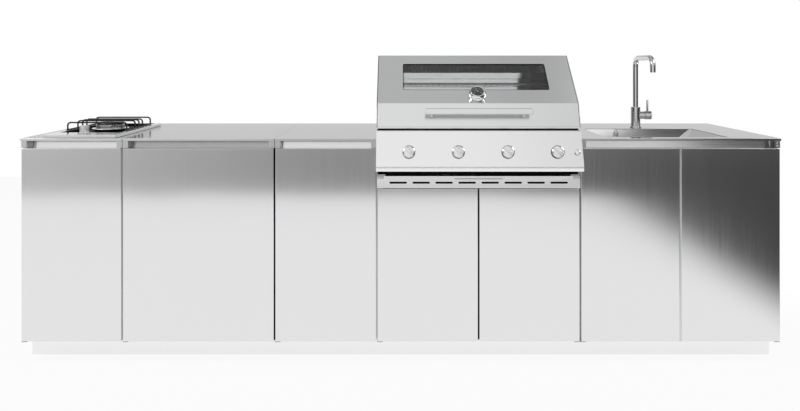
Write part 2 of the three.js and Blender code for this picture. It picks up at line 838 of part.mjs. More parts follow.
/** The tub that hangs by its rim, with a skirt down to the cabinet, ledges and two hinge ears. */
function addFirebox() {
  const group = placedGroup(island, grillCentre, 0, 0);
  const rimFront = front + rimFrontSetback;
  const rim = block([-skirtHalf, skirtHalf], [rimFront, skirtBack], [rimBottom, rimTop]);
  const skirt = cut(
    block([-skirtHalf, skirtHalf], [rimFront, skirtBack], [underWorktop, rimTop]),
    block(
      [-skirtHalf + fireboxSheet, skirtHalf - fireboxSheet],
      [rimFront - overrun, skirtBack - fireboxSheet],
      [underWorktop - overrun, rimBottom],
    ),
  );
  const skirtFrontCut = block(
    [-skirtHalf - overrun, skirtHalf + overrun],
    [rimFront - overrun, cabinetFront],
    [underWorktop - overrun, rimBottom],
  );
  const tub = block([-fireboxHalf, fireboxHalf], [fireboxFront, fireboxBack], [fireboxBottom, rimTop]);
  const hollow = block(
    [-fireboxHalf + fireboxSheet, fireboxHalf - fireboxSheet],
    [fireboxFront + fireboxSheet, fireboxBack - fireboxSheet],
    [fireboxBottom + fireboxSheet, rimTop + overrun],
  );
  const ledges = [fireboxFront, fireboxBack - grateLedgeWidth].map((y) =>
    block(
      [-fireboxHalf, fireboxHalf],
      [y, y + grateLedgeWidth],
      [grateLedgeHeight - fireboxSheet, grateLedgeHeight],
    ),
  );
  const greaseSlot = block(
    [-greaseSlotLength / 2, greaseSlotLength / 2],
    [-greaseSlotWidth / 2, greaseSlotWidth / 2],
    [fireboxBottom - overrun, fireboxBottom + fireboxSheet + overrun],
  );
  const burnerHoles = knobPlaces.map((x) =>
    bar(
      burnerRadius + seatGap,
      [x, fireboxFront - overrun, manifoldPoint().z],
      [x, fireboxFront + fireboxSheet + overrun, manifoldPoint().z],
    ),
  );
  const earOuter = hoodWidth / 2 - hoodSheet - hingeEarInset;
  const ears = [-1, 1].map((side) => {
    const xEnds = [side * earOuter, side * (earOuter - hingeEarThickness)];
    const foot = block(xEnds, [hoodPivotY - hingeEarReach, hoodPivotY], [rimBottom, hoodPivotZ]);
    const [start, end] = xEnds.map((x) => [x, hoodPivotY, hoodPivotZ]);
    return join(foot, bar(hingeEarRadius, start, end));
  });
  const rodHole = bar(
    hoodRodRadius + seatGap,
    [-hoodWidth / 2, hoodPivotY, hoodPivotZ],
    [hoodWidth / 2, hoodPivotY, hoodPivotZ],
  );
  const walls = cut(join(rim, cut(skirt, skirtFrontCut), tub), hollow);
  const firebox = cut(join(walls, ...ledges, ...ears), greaseSlot, rodHole, ...burnerHoles);
  addPiece(group, 'firebox', firebox, finishes.innerSteel);
}

/** Place of a point on the fascia, from its height. */
function fasciaPoint(height) {
  const up = (height - fasciaBend) / fasciaBendDrop;
  return { y: front - fasciaReach + up * fasciaRun, z: height };
}

/** Where the manifold's axis runs, behind the knobs. */
function manifoldPoint() {
  const { y, z } = fasciaPoint(knobHeight);
  return {
    y: y + manifoldDepth * Math.sin(fasciaSlope),
    z: z - manifoldDepth * Math.cos(fasciaSlope),
  };
}

/** A group on the fascia whose X runs along the row, Y up the slope and Z out of the panel. */
function fasciaGroup(x, height) {
  const { y, z } = fasciaPoint(height);
  return placedGroup(island, grillCentre + x, y, z, fasciaSlope);
}

/** A hole square through the fascia. */
function fasciaHole(radius, x, height) {
  const { y, z } = fasciaPoint(height);
  const outY = -Math.sin(fasciaSlope);
  const outZ = Math.cos(fasciaSlope);
  const reach = fasciaSheet + overrun;
  return bar(radius, [x, y + outY * reach, z + outZ * reach], [x, y - outY * reach, z - outZ * reach]);
}

/** The control panel: a sloping sheet with a rolled lower edge, closed ends and a return under the rim. */
function addFascia() {
  const group = placedGroup(island, grillCentre, 0, 0);
  const half = hoodWidth / 2;
  const backY = front - fasciaFrontGap;
  const bendY = front - fasciaReach;
  const profile = [
    [backY, fasciaTop],
    [backY, fasciaBottom],
    [bendY + fasciaRoll, fasciaBottom],
    [bendY, fasciaBottom + fasciaRoll],
    [bendY, fasciaBend],
  ];
  const shell = cut(
    prism(profile, [-half, half]),
    prism(insetProfile(profile, [-overrun, fasciaSheet, fasciaSheet, fasciaSheet, fasciaSheet]), [
      -half + fasciaSheet,
      half - fasciaSheet,
    ]),
  );
  const topReturn = block(
    [-half + fasciaReturnInset, half - fasciaReturnInset],
    [backY, backY + fasciaReturnDepth],
    [fasciaTop - fasciaSheet, fasciaTop],
  );
  const knobHoles = knobPlaces.map((x) => fasciaHole(spindleRadius + seatGap, x, knobHeight));
  const buttonHole = fasciaHole(buttonStemRadius + seatGap, buttonPlace, buttonHeight);
  const fascia = cut(join(shell, topReturn), ...knobHoles, buttonHole);
  addPiece(group, 'control_fascia', fascia, finishes.brushedSteel);
  knobPlaces.forEach((x, i) => {
    const knob = addPiece(fasciaGroup(x, knobHeight), `knob_${i + 1}`, knobSolid(), finishes.chrome);
    knob.rotation.z = -Math.PI / 4;
  });
  addPiece(fasciaGroup(buttonPlace, buttonHeight), 'ignition_button', buttonSolid(), finishes.plastic);
}

/** A round knob with a grip bar across its face and a blind bore for its spindle. */
function knobSolid() {
  const skirtTop = knobClearance + knobSkirtThickness;
  const bodyTop = skirtTop + knobBodyThickness;
  const body = turned([
    [0, knobClearance],
    [knobSkirtRadius, knobClearance],
    [knobSkirtRadius, skirtTop],
    [knobBodyRadius, bodyTop],
    [0, bodyTop],
  ]);
  const gripReach = knobSkirtRadius - knobGripEndGap;
  const grip = block(
    [-gripReach, gripReach],
    [-knobGripWidth / 2, knobGripWidth / 2],
    [skirtTop - knobSkirtThickness / 2, bodyTop + knobGripHeight],
  );
  const bore = bar(spindleRadius + seatGap, [0, 0, 0], [0, 0, knobClearance + spindleReach + seatGap]);
  return cut(join(body, grip), bore);
}

/** The ignition button: a low turned head on a stem that goes through the fascia. */
function buttonSolid() {
  const headTop = buttonTravelGap + buttonThickness;
  return turned([
    [0, headTop - buttonStemLength],
    [buttonStemRadius, headTop - buttonStemLength],
    [buttonStemRadius, buttonTravelGap],
    [buttonRadius, buttonTravelGap],
    [buttonRadius, headTop],
    [0, headTop],
  ]);
}

/** The gas manifold with a spindle for each knob and a spud for each burner, and the burners. */
function addGasParts() {
  const group = placedGroup(island, grillCentre, 0, 0);
  const { y, z } = manifoldPoint();
  const end = hoodWidth / 2 - manifoldEndInset;
  const pipe = bar(manifoldRadius, [-end, y, z], [end, y, z], roundSides);
  const outY = -Math.sin(fasciaSlope);
  const outZ = Math.cos(fasciaSlope);
  const spindleEnd = manifoldDepth + knobClearance + spindleReach;
  const spindles = knobPlaces.map((x) =>
    bar(spindleRadius, [x, y, z], [x, y + outY * spindleEnd, z + outZ * spindleEnd]),
  );
  const spuds = knobPlaces.map((x) => bar(spudRadius, [x, y, z], [x, y + spudLength, z]));
  addPiece(group, 'gas_manifold', join(pipe, ...spindles, ...spuds), finishes.brass);
  knobPlaces.forEach((x, i) => {
    const mouthY = fireboxFront - burnerMouth;
    const endY = fireboxBack - fireboxSheet - seatGap;
    const outside = bar(burnerRadius, [x, mouthY, z], [x, endY, z]);
    const inside = bar(burnerRadius - burnerWall, [x, mouthY - overrun, z], [x, endY - burnerWall, z]);
    addPiece(group, `burner_tube_${i + 1}`, cut(outside, inside), finishes.innerSteel);
  });
}

/** Grate, hotplate and warming rack. */
function addCookingSurfaces() {
  const group = placedGroup(island, grillCentre, 0, 0);
  const innerHalf = fireboxHalf - fireboxSheet;
  const yEnds = [fireboxFront + fireboxSheet + grateSideGap, fireboxBack - fireboxSheet - grateSideGap];
  const bottom = grateLedgeHeight + seatGap;
  const zEnds = [bottom, bottom + grateThickness];
  const grate = grateSolid([-innerHalf + grateSideGap, -grateSideGap / 2], yEnds, zEnds);
  addPiece(group, 'grill_grate', grate, finishes.castIron);
  const hotplateEnds = [grateSideGap / 2, innerHalf - grateSideGap];
  const dish = block(
    [hotplateEnds[0] + hotplateRimWidth, hotplateEnds[1] - hotplateRimWidth],
    [yEnds[0] + hotplateRimWidth, yEnds[1] - hotplateRimWidth],
    [bottom + hotplateSheet, bottom + grateThickness + overrun],
  );
  addPiece(group, 'hotplate', cut(block(hotplateEnds, yEnds, zEnds), dish), finishes.castIron);
  addPiece(group, 'warming_rack', warmingRackSolid(), finishes.chrome);
}

/** A grate: a thick plate with long slots that leave its frame and its bars. */
function grateSolid([left, right], [frontY, backY], zEnds) {
  const slotCount = grateBarCount + 1;
  const barsWidth = grateBarCount * grateBarWidth;
  const slotWidth = (right - left - grateFrameWidth * 2 - barsWidth) / slotCount;
  const slots = Array.from({ length: slotCount }, (_, i) => {
    const x = left + grateFrameWidth + i * (slotWidth + grateBarWidth);
    return block(
      [x, x + slotWidth],
      [frontY + grateFrameWidth, backY - grateFrameWidth],
      [zEnds[0] - overrun, zEnds[1] + overrun],
    );
  });
  return cut(block([left, right], [frontY, backY], zEnds), ...slots);
}

/** A wire rack on four legs that stand on the rim: two bent rails with wires across. */
function warmingRackSolid() {
  const half = hoodWidth / 2 - rackInset;
  const foot = rimTop + seatGap;
  const frontY = front + rackFront;
  const rails = [frontY, frontY + rackDepth].map((y) =>
    bentRod(
      rackRailRadius,
      [
        [-half, y, foot],
        [-half, y, rackHeight],
        [half, y, rackHeight],
        [half, y, foot],
      ],
      rackBendRadius,
    ),
  );
  const pitch = (2 * (half - rackBendRadius)) / (rackWireCount + 1);
  const wires = Array.from({ length: rackWireCount }, (_, i) => {
    const x = -half + rackBendRadius + pitch * (i + 1);
    return bar(rackWireRadius, [x, frontY, rackHeight], [x, frontY + rackDepth, rackHeight], wireSides);
  });
  return join(...rails, ...wires);
}

/** The shallow tray on the runners under the firebox. */
function addDripTray() {
  const group = placedGroup(island, grillCentre, 0, 0);
  const half = skirtHalf - sheet - traySideGap;
  const bottom = trayRunnerHeight + seatGap;
  const frontY = front + trayFrontSetback;
  const backY = frontY + trayDepth;
  const outside = block([-half, half], [frontY, backY], [bottom, bottom + trayHeight]);
  const inside = block(
    [-half + traySheet, half - traySheet],
    [frontY + traySheet, backY - traySheet],
    [bottom + traySheet, bottom + trayHeight + overrun],
  );
  addPiece(group, 'drip_tray', cut(outside, inside), finishes.enamel);
}

/** The hood with its window, handle and thermometer, in a group at its hinge, and the hinge rod. */
function addHood() {
  const hinge = placedGroup(island, grillCentre, hoodPivotY, hoodPivotZ);
  const toHinge = ([y, z]) => [y - hoodPivotY, z - hoodPivotZ];
  const creaseY = front + hoodLowerRun;
  const creaseZ = hoodLip + hoodLowerRise;
  const topY = creaseY + hoodUpperRun;
  const topZ = creaseZ + hoodUpperRise;
  const profile = [
    [front, hoodLip],
    [creaseY, creaseZ],
    [topY, topZ],
    [topY + hoodRoofRun, topZ],
    [hoodBack, topZ - hoodRearDrop],
    [hoodBack, hoodPivotZ],
    [hoodPivotY, hoodLip],
  ].map(toHinge);
  const half = hoodWidth / 2;
  const wall = hoodSheet;
  const hollow = insetProfile(profile, [wall, wall, wall, wall, wall, -overrun, -overrun]);
  const shell = cut(prism(profile, [-half, half]), prism(hollow, [-half + wall, half - wall]));
  const [lipY, lipZ] = toHinge([front, hoodLip]);
  const [seamY, seamZ] = toHinge([creaseY, creaseZ]);
  const upper = placedGroup(hinge, 0, seamY, seamZ, hoodUpperSlope);
  const lower = placedGroup(hinge, 0, lipY, lipZ, hoodLowerSlope);
  const upperFrame = new THREE.Matrix4().makeRotationX(hoodUpperSlope).setPosition(0, seamY, seamZ);
  const windowY = windowUp + windowWidth / 2;
  const window = plate(roundedRectangle(windowLength, windowWidth, windowCorner, 0, windowY), [
    -wall - overrun,
    overrun,
  ]).transform(upperFrame.elements);
  const probeHole = bar(
    probeRadius + seatGap,
    [0, thermometerUp, -wall - overrun],
    [0, thermometerUp, overrun],
    roundSides,
  ).transform(upperFrame.elements);
  const rodHole = bar(hoodRodRadius + seatGap, [-half - overrun, 0, 0], [half + overrun, 0, 0]);
  addPiece(hinge, 'hood', cut(shell, window, probeHole, rodHole), finishes.brushedSteel);
  const glassLength = windowLength + glassLap * 2;
  const glassShape = roundedRectangle(glassLength, windowWidth + glassLap * 2, windowCorner, 0, windowY);
  const glassTop = -wall - seatGap;
  addPiece(upper, 'hood_window', plate(glassShape, [glassTop - glassThickness, glassTop]), finishes.glass);
  addPiece(lower, 'hood_handle', handleSolid(), finishes.polishedSteel);
  const gauge = placedGroup(upper, 0, thermometerUp, 0);
  addPiece(gauge, 'thermometer_housing', thermometerSolid(), finishes.chrome);
  addPiece(gauge, 'thermometer_dial', dialSolid(), finishes.dial);
  const rodReach = half + hoodRodProud;
  const rod = bar(hoodRodRadius, [-rodReach, 0, 0], [rodReach, 0, 0]);
  addPiece(hinge, 'hood_hinge_rod', rod, finishes.innerSteel);
}

/** A flat bar with round corners on two posts, over the hood's lower panel. */
function handleSolid() {
  const grip = plate(roundedRectangle(handleLength, handleHeight, handleCorner, 0, handleUp), [
    handleStandOff - handleDepth / 2,
    handleStandOff + handleDepth / 2,
  ]);
  const postX = handleLength / 2 - handlePostInset;
  const posts = [-postX, postX].map((x) =>
    bar(handlePostRadius, [x, handleUp, seatGap], [x, handleUp, handleStandOff], roundSides),
  );
  return join(grip, ...posts);
}

/** The thermometer's turned housing, with a recess for its dial and a probe through the hood. */
function thermometerSolid() {
  const baseTop = thermometerBaseThickness + seatGap;
  const neckTop = baseTop + thermometerNeckLength;
  const bezelTop = neckTop + bezelLength;
  const dialRadius = bezelRadius - bezelRimWidth;
  return turned([
    [0, -probeLength],
    [probeRadius, -probeLength],
    [probeRadius, seatGap],
    [thermometerBaseRadius, seatGap],
    [thermometerBaseRadius, baseTop],
    [thermometerNeckRadius, baseTop],
    [thermometerNeckRadius, neckTop],
    [bezelRadius, neckTop],
    [bezelRadius, bezelTop],
    [dialRadius, bezelTop],
    [dialRadius, bezelTop - dialRecess],
    [0, bezelTop - dialRecess],
  ]);
}

/** The dial disc with its needle. */
function dialSolid() {
  const floor = seatGap + thermometerBaseThickness + thermometerNeckLength + bezelLength - dialRecess;
  const low = floor + seatGap;
  const high = low + dialThickness;
  const radius = bezelRadius - bezelRimWidth - seatGap;
  const disc = bar(radius, [0, 0, low], [0, 0, high], roundSides);
  const needle = block(
    [-needleWidth / 2, needleWidth / 2],
    [0, needleLength],
    [high - dialThickness / 2, high + needleThickness],
  );
  const turn = new THREE.Matrix4().makeRotationZ(needleTurn);
  return join(disc, needle.transform(turn.elements));
}

// Side burner

function addSideBurner() {
  const group = placedGroup(island, hobCentre, 0, 0);
  const trayFront = front + spillTrayFrontSetback;
  const trayBack = trayFront + spillTrayDepth;
  const burnerY = (trayFront + trayBack) / 2;
  const plateTop = onWorktop + hobPlateThickness;
  const knobY = front + hobKnobFrontSetback;
  addPiece(group, 'hob_plate', hobPlateSolid(trayFront, trayBack, plateTop, knobY), finishes.brushedSteel);
  addPiece(group, 'spill_tray', spillTraySolid(trayFront, trayBack, burnerY), finishes.enamel);
  const floor = onWorktop + spillTraySheet + seatGap;
  addPiece(group, 'hob_burner', hobBurnerSolid(floor, burnerY), finishes.brushedSteel);
  const crownTop = floor + hobBurnerHeight + seatGap;
  addPiece(group, 'hob_burner_cap', hobCapSolid(crownTop, burnerY), finishes.castIron);
  addPiece(group, 'trivet', trivetSolid(plateTop + seatGap, burnerY), finishes.castIron);
  const knobGroup = placedGroup(group, hobKnobShift, knobY, plateTop);
  addPiece(knobGroup, 'hob_knob', hobKnobSolid(), finishes.polishedSteel);
}

/** The raised plate, hollow from below, with an opening for the spill tray. */
function hobPlateSolid(trayFront, trayBack, plateTop, knobY) {
  const half = hobPlateWidth / 2;
  const plateFront = front + hobPlateFrontSetback;
  const plateBack = plateFront + hobPlateDepth;
  const outside = block([-half, half], [plateFront, plateBack], [onWorktop, plateTop]);
  const inside = block(
    [-half + sheet, half - sheet],
    [plateFront + sheet, plateBack - sheet],
    [onWorktop - overrun, plateTop - sheet],
  );
  const openingHalf = spillTrayWidth / 2;
  const opening = block(
    [-openingHalf, openingHalf],
    [trayFront, trayBack],
    [onWorktop - overrun, plateTop + overrun],
  );
  const stemHole = bar(
    spindleRadius + seatGap,
    [hobKnobShift, knobY, plateTop - sheet - overrun],
    [hobKnobShift, knobY, plateTop + overrun],
  );
  return cut(outside, inside, opening, stemHole);
}

/** The black tray in the plate's opening, with a hole for the burner's throat. */
function spillTraySolid(trayFront, trayBack, burnerY) {
  const half = spillTrayWidth / 2 - seatGap;
  const yEnds = [trayFront + seatGap, trayBack - seatGap];
  const outside = block([-half, half], yEnds, [onWorktop, onWorktop + spillTrayWall]);
  const inside = block(
    [-half + spillTraySheet, half - spillTraySheet],
    [yEnds[0] + spillTraySheet, yEnds[1] - spillTraySheet],
    [onWorktop + spillTraySheet, onWorktop + spillTrayWall + overrun],
  );
  const throatHole = bar(
    hobThroatRadius + seatGap,
    [0, burnerY, onWorktop - overrun],
    [0, burnerY, onWorktop + spillTraySheet + overrun],
    roundSides,
  );
  return cut(outside, inside, throatHole);
}

/** The burner: a low dish, a crown for the flame and a throat through the spill tray. */
function hobBurnerSolid(floor, burnerY) {
  return turned(
    [
      [0, floor - hobThroatLength],
      [hobThroatRadius, floor - hobThroatLength],
      [hobThroatRadius, floor],
      [hobBurnerCrownRadius, floor],
      [hobBurnerRadius, floor + hobBurnerBase],
      [hobBurnerRadius, floor + hobBurnerBase + spillTraySheet],
      [hobBurnerCrownRadius, floor + hobBurnerBase + spillTraySheet],
      [hobBurnerCrownRadius, floor + hobBurnerHeight],
      [0, floor + hobBurnerHeight],
    ],
    0,
    burnerY,
  );
}

/** The cap on the burner, slightly domed. */
function hobCapSolid(bottom, burnerY) {
  return turned(
    [
      [0, bottom],
      [hobCapRadius, bottom],
      [hobCapRadius, bottom + hobCapThickness - hobCapDome],
      [hobCapRadius - hobCapDome, bottom + hobCapThickness],
      [0, bottom + hobCapThickness],
    ],
    0,
    burnerY,
  );
}

/** The wire trivet: bent arches over the burner, joined by a wire along each side. */
function trivetSolid(bottom, burnerY) {
  const half = trivetWidth / 2;
  const low = bottom + trivetWireRadius;
  const high = trivetTop - trivetWireRadius;
  const archPlaces = trivetArchShares.map((share) => burnerY + (share * spillTrayDepth) / 2);
  const arches = archPlaces.map((y) =>
    bentRod(
      trivetWireRadius,
      [
        [-half, y, low],
        [-half, y, high],
        [half, y, high],
        [half, y, low],
      ],
      trivetBendRadius,
    ),
  );
  const sideWires = [-half, half].map((x) =>
    bar(
      trivetWireRadius,
      [x, archPlaces[0] - trivetWireProud, low],
      [x, archPlaces.at(-1) + trivetWireProud, low],
      wireSides,
    ),
  );
  return join(...arches, ...sideWires);
}

/** The hob's knob, tapered, on a short stem through the plate. */
function hobKnobSolid() {
  return turned([
    [0, -hobKnobStemLength],
    [spindleRadius, -hobKnobStemLength],
    [spindleRadius, seatGap],
    [hobKnobRadius, seatGap],
    [hobKnobRadius - hobKnobTaper, seatGap + hobKnobThickness],
    [0, seatGap + hobKnobThickness],
  ]);
}

// Sink

/** Corners of a level rectangle with round corners, at a height. */
function levelRing(length, width, corner, z) {
  const ring = [];
  const signs = [
    [1, 1],
    [-1, 1],
    [-1, -1],
    [1, -1],
  ];
  signs.forEach(([signX, signY], quarter) => {
    for (let step = 0; step <= bowlCornerSteps; step += 1) {
      const angle = (Math.PI / 2) * (quarter + step / bowlCornerSteps);
      const x = signX * (length / 2 - corner) + corner * Math.cos(angle);
      const y = signY * (width / 2 - corner) + corner * Math.sin(angle);
      ring.push([x, y, z]);
    }
  });
  return ring;
}

/** A closed solid through level rings from the lowest to the highest. */
function ringSolid(rings) {
  const count = rings[0].length;
  const positions = rings.flat(2);
  const bottomCentre = positions.length / 3;
  positions.push(0, 0, rings[0][0][2]);
  positions.push(0, 0, rings.at(-1)[0][2]);
  const top = (rings.length - 1) * count;
  const triangles = [];
  for (let i = 0; i < count; i += 1) {
    const next = (i + 1) % count;
    for (let level = 0; level < rings.length - 1; level += 1) {
      const low = level * count;
      const high = low + count;
      triangles.push(low + i, low + next, high + next);
      triangles.push(low + i, high + next, high + i);
    }
    triangles.push(bottomCentre, next, i);
    triangles.push(bottomCentre + 1, top + i, top + next);
  }
  const geometry = new THREE.BufferGeometry();
  geometry.setAttribute('position', new THREE.Float32BufferAttribute(positions, 3));
  geometry.setIndex(triangles);
  return solidOf(geometry);
}

/** The bowl's room, grown outwards by a wall: sloping shoulders over nearly upright sides. */
function bowlSolid(wall, bottom, top) {
  const mouth = worktopHeight - sheet;
  const shoulder = mouth - bowlBevelDrop;
  const grown = 2 * wall;
  const lowerLength = bowlWidth - 2 * bowlBevelRun + grown;
  const lowerWidth = bowlDepth - 2 * bowlBevelRun + grown;
  return ringSolid([
    levelRing(lowerLength - 2 * bowlDraft, lowerWidth - 2 * bowlDraft, bowlLowerCorner, bottom),
    levelRing(lowerLength, lowerWidth, bowlLowerCorner, shoulder),
    levelRing(bowlWidth + grown, bowlDepth + grown, bowlCorner, mouth - seatGap),
    levelRing(bowlWidth + grown, bowlDepth + grown, bowlCorner, top),
  ]);
}

function addSink() {
  const group = placedGroup(island, cabinetCentre(4) + bowlShift, bowlY, 0);
  const flangeTop = worktopHeight - sheet - seatGap;
  const floor = worktopHeight - bowlHeight;
  const outside = bowlSolid(bowlSheet, floor - bowlSheet, flangeTop + seatGap);
  const inside = bowlSolid(0, floor, flangeTop + overrun);
  const flange = plate(
    roundedRectangle(bowlWidth + bowlFlange * 2, bowlDepth + bowlFlange * 2, bowlLowerCorner),
    [flangeTop - bowlSheet, flangeTop],
  );
  const trim = block([-bowlWidth, bowlWidth], [-bowlDepth, bowlDepth], [flangeTop, flangeTop + overrun]);
  const drain = bar(drainRadius, [0, 0, floor - bowlSheet - overrun], [0, 0, floor + overrun], roundSides);
  const bowl = cut(join(cut(outside, trim), flange), inside, drain);
  addPiece(group, 'sink_bowl', bowl, finishes.brushedSteel);
  addPiece(group, 'sink_strainer', strainerSolid(floor), finishes.polishedSteel);
  addPiece(group, 'sink_trap', trapSolid(floor), finishes.plastic);
}

/** The strainer in the drain, dished on top, with its tailpiece. */
function strainerSolid(floor) {
  const low = floor + seatGap;
  const top = low + strainerFlange;
  const cupBottom = floor - strainerLength;
  const tailBottom = cupBottom - tailLength;
  return turned([
    [0, tailBottom],
    [tailRadius, tailBottom],
    [tailRadius, cupBottom],
    [drainRadius - seatGap, cupBottom + strainerLength / 2],
    [drainRadius - seatGap, low],
    [strainerFlangeRadius, low],
    [strainerFlangeRadius, top],
    [strainerDishRadius, top],
    [strainerDishRadius, top - strainerDish],
    [0, top - strainerDish],
  ]);
}

/** The bottle trap round the tailpiece, with its waste pipe to the cabinet's back. */
function trapSolid(floor) {
  const tailBottom = floor - strainerLength - tailLength;
  const top = tailBottom + trapSocket;
  const bottle = bar(trapRadius, [0, 0, top - trapHeight], [0, 0, top], roundSides);
  const socket = bar(tailRadius + seatGap, [0, 0, tailBottom - seatGap], [0, 0, top + overrun], roundSides);
  const wasteEnd = back - sheet - seatGap - bowlY;
  const waste = bar(wasteRadius, [0, 0, top - wasteDrop], [0, wasteEnd, top - wasteDrop], roundSides);
  return cut(join(bottle, waste), socket);
}

// Tap

function addTap() {
  const group = placedGroup(island, tapShift, tapY, 0);
  const bodyTop = onWorktop + tapHeight;
  const pillar = turned([
    [0, onWorktop - tapShankLength],
    [tapShankRadius, onWorktop - tapShankLength],
    [tapShankRadius, onWorktop],
    [tapFlangeRadius, onWorktop],
    [tapFlangeRadius, onWorktop + tapFlange],
    [tapRadius, onWorktop + tapFlange],
    [tapRadius, bodyTop],
    [0, bodyTop],
  ]);
  const valve = bar(valveRadius, [0, 0, valveHeight], [valveLength - seatGap, 0, valveHeight], roundSides);
  const socket = bar(
    spoutStemRadius + seatGap,
    [0, 0, bodyTop - spoutStemLength - seatGap],
    [0, 0, bodyTop + overrun],
    roundSides,
  );
  addPiece(group, 'tap_body', cut(join(pillar, valve), socket), finishes.brushedSteel);
  addPiece(group, 'tap_spout', spoutSolid(bodyTop + seatGap), finishes.brushedSteel);
  const mixer = placedGroup(group, valveLength, 0, valveHeight);
  addPiece(mixer, 'mixer_cap', mixerCapSolid(), finishes.brushedSteel);
  const leverGroup = placedGroup(mixer, leverPlace - valveLength, 0, capRadius - leverSink);
  const leverLength = leverTop - valveHeight - capRadius + leverSink;
  const ball = solidOf(new THREE.SphereGeometry(leverRadius, rodSides, rodSides));
  const lever = join(ball, bar(leverRadius, [0, 0, 0], [0, 0, leverLength], roundSides));
  addPiece(leverGroup, 'mixer_lever', lever, finishes.brushedSteel);
}

/** The spout: up, forwards and down again, with a stem in the tap's body and an open tip. */
function spoutSolid(bottom) {
  const axisTop = spoutTop - spoutRadius;
  const pipe = bentRod(
    spoutRadius,
    [
      [0, 0, bottom],
      [0, 0, axisTop],
      [0, -spoutReach, axisTop],
      [0, -spoutReach, spoutTip],
    ],
    spoutBendRadius,
    roundSides / 2,
  );
  const stem = bar(spoutStemRadius, [0, 0, bottom - spoutStemLength], [0, 0, bottom + overrun], roundSides);
  const tipBore = bar(
    spoutBore,
    [0, -spoutReach, spoutTip - overrun],
    [0, -spoutReach, spoutTip + spoutBoreDepth],
  );
  return cut(join(pipe, stem), tipBore);
}

/** The cap on the valve, with a slot that the lever stands in. */
function mixerCapSolid() {
  const leverX = leverPlace - valveLength;
  const pivotZ = capRadius - leverSink;
  const slotHalf = leverRadius + seatGap;
  const slot = block(
    [leverX - slotHalf, leverX + leverSlotReach],
    [-slotHalf, slotHalf],
    [pivotZ - slotHalf, capRadius + overrun],
  );
  return cut(bar(capRadius, [0, 0, 0], [capLength, 0, 0], roundSides), slot);
}

// The whole island

addPlinth();
addHobCabinet();
addWideCabinet();
addNarrowCabinet();
addGrillCabinet();
addSinkCabinet();
addFirebox();
addFascia();
addGasParts();
addCookingSurfaces();
addDripTray();
addHood();
addSideBurner();
addSink();
addTap();

export default island;
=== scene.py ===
"""Outdoor kitchen island in stainless steel: cabinets, side burner, hooded gas grill and sink.

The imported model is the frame. Every piece here is in metres and in the row's own frame: X runs along
the row towards the sink, Y from the front to the back, Z up from the floor.
"""

import json
import logging
import math
from collections.abc import Callable, Iterable, Sequence
from dataclasses import dataclass, field
from enum import Enum

import bmesh
import bpy
from mathutils import Matrix, Vector

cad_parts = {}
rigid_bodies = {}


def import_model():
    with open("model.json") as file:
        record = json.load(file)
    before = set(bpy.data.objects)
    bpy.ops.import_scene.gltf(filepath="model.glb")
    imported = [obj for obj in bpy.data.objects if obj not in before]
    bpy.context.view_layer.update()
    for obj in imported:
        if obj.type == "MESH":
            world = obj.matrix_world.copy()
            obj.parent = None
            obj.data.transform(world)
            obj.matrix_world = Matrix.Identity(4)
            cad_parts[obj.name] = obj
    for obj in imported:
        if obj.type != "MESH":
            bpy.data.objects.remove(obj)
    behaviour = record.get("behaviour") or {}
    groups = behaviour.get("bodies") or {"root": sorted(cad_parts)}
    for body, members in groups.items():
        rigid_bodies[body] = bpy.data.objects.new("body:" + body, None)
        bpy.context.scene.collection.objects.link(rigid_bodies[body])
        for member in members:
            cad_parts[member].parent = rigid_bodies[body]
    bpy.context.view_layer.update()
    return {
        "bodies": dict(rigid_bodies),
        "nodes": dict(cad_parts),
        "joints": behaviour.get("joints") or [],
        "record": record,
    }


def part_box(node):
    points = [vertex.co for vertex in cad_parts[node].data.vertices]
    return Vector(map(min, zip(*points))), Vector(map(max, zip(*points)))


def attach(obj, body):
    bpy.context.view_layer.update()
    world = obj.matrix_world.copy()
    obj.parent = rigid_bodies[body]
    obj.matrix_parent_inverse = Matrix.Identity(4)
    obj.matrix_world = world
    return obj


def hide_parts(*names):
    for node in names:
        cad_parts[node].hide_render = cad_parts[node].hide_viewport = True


log = logging.getLogger("kitchen_island")

Pair = tuple[float, float]
Point = tuple[float, float, float]
Colour = tuple[float, float, float, float]
Tree = bpy.types.NodeTree
Socket = bpy.types.NodeSocket

MILLIMETRE = 0.001
CLEARANCE = 0.3 * MILLIMETRE  # between pieces that touch
ROUND_STEPS = 64
WIRE_SIDES = 16
SMOOTH_ANGLE = math.radians(40)  # faces that meet at a smaller angle shade as one
FOLD_ANGLE = math.radians(12)  # edges that turn further than this can be rounded
FLAT_ANGLE = math.radians(0.5)  # faces that meet at a smaller angle are one flat face
NOISE_REACH = (0.3, 0.7)  # where most values of a noise lie
TANGENT_TRACE = (0.003, 0.002, 0.001)  # keeps a tangent sound on faces that are square to the grain


# Colours and nodes


def linear(code: str) -> Colour:
    """Turn an sRGB hex colour to Blender's linear one.

    Args:
        code: Colour such as "#c8c9ca".

    Returns:
        Red, green, blue and an alpha of 1.
    """
    shares = [int(code[i : i + 2], 16) / 255 for i in (1, 3, 5)]
    red, green, blue = (s / 12.92 if s <= 0.04045 else ((s + 0.055) / 1.055) ** 2.4 for s in shares)
    return red, green, blue, 1.0


def add_node(
    tree: Tree, kind: str, settings: dict[str, object] | None = None,
    inputs: dict[str | int, object] | None = None,
) -> bpy.types.Node:
    """Add a node with its settings and links.

    Args:
        tree: Tree that gets the node.
        kind: Blender's name for the type of node.
        settings: Values of the node's own properties.
        inputs: For each input, a value or the output socket that feeds it.

    Returns:
        The new node.
    """
    node = tree.nodes.new(kind)
    for name, value in (settings or {}).items():
        setattr(node, name, value)
    for name, value in (inputs or {}).items():
        if isinstance(value, Socket):
            tree.links.new(value, node.inputs[name])
        else:
            node.inputs[name].default_value = value
    return node


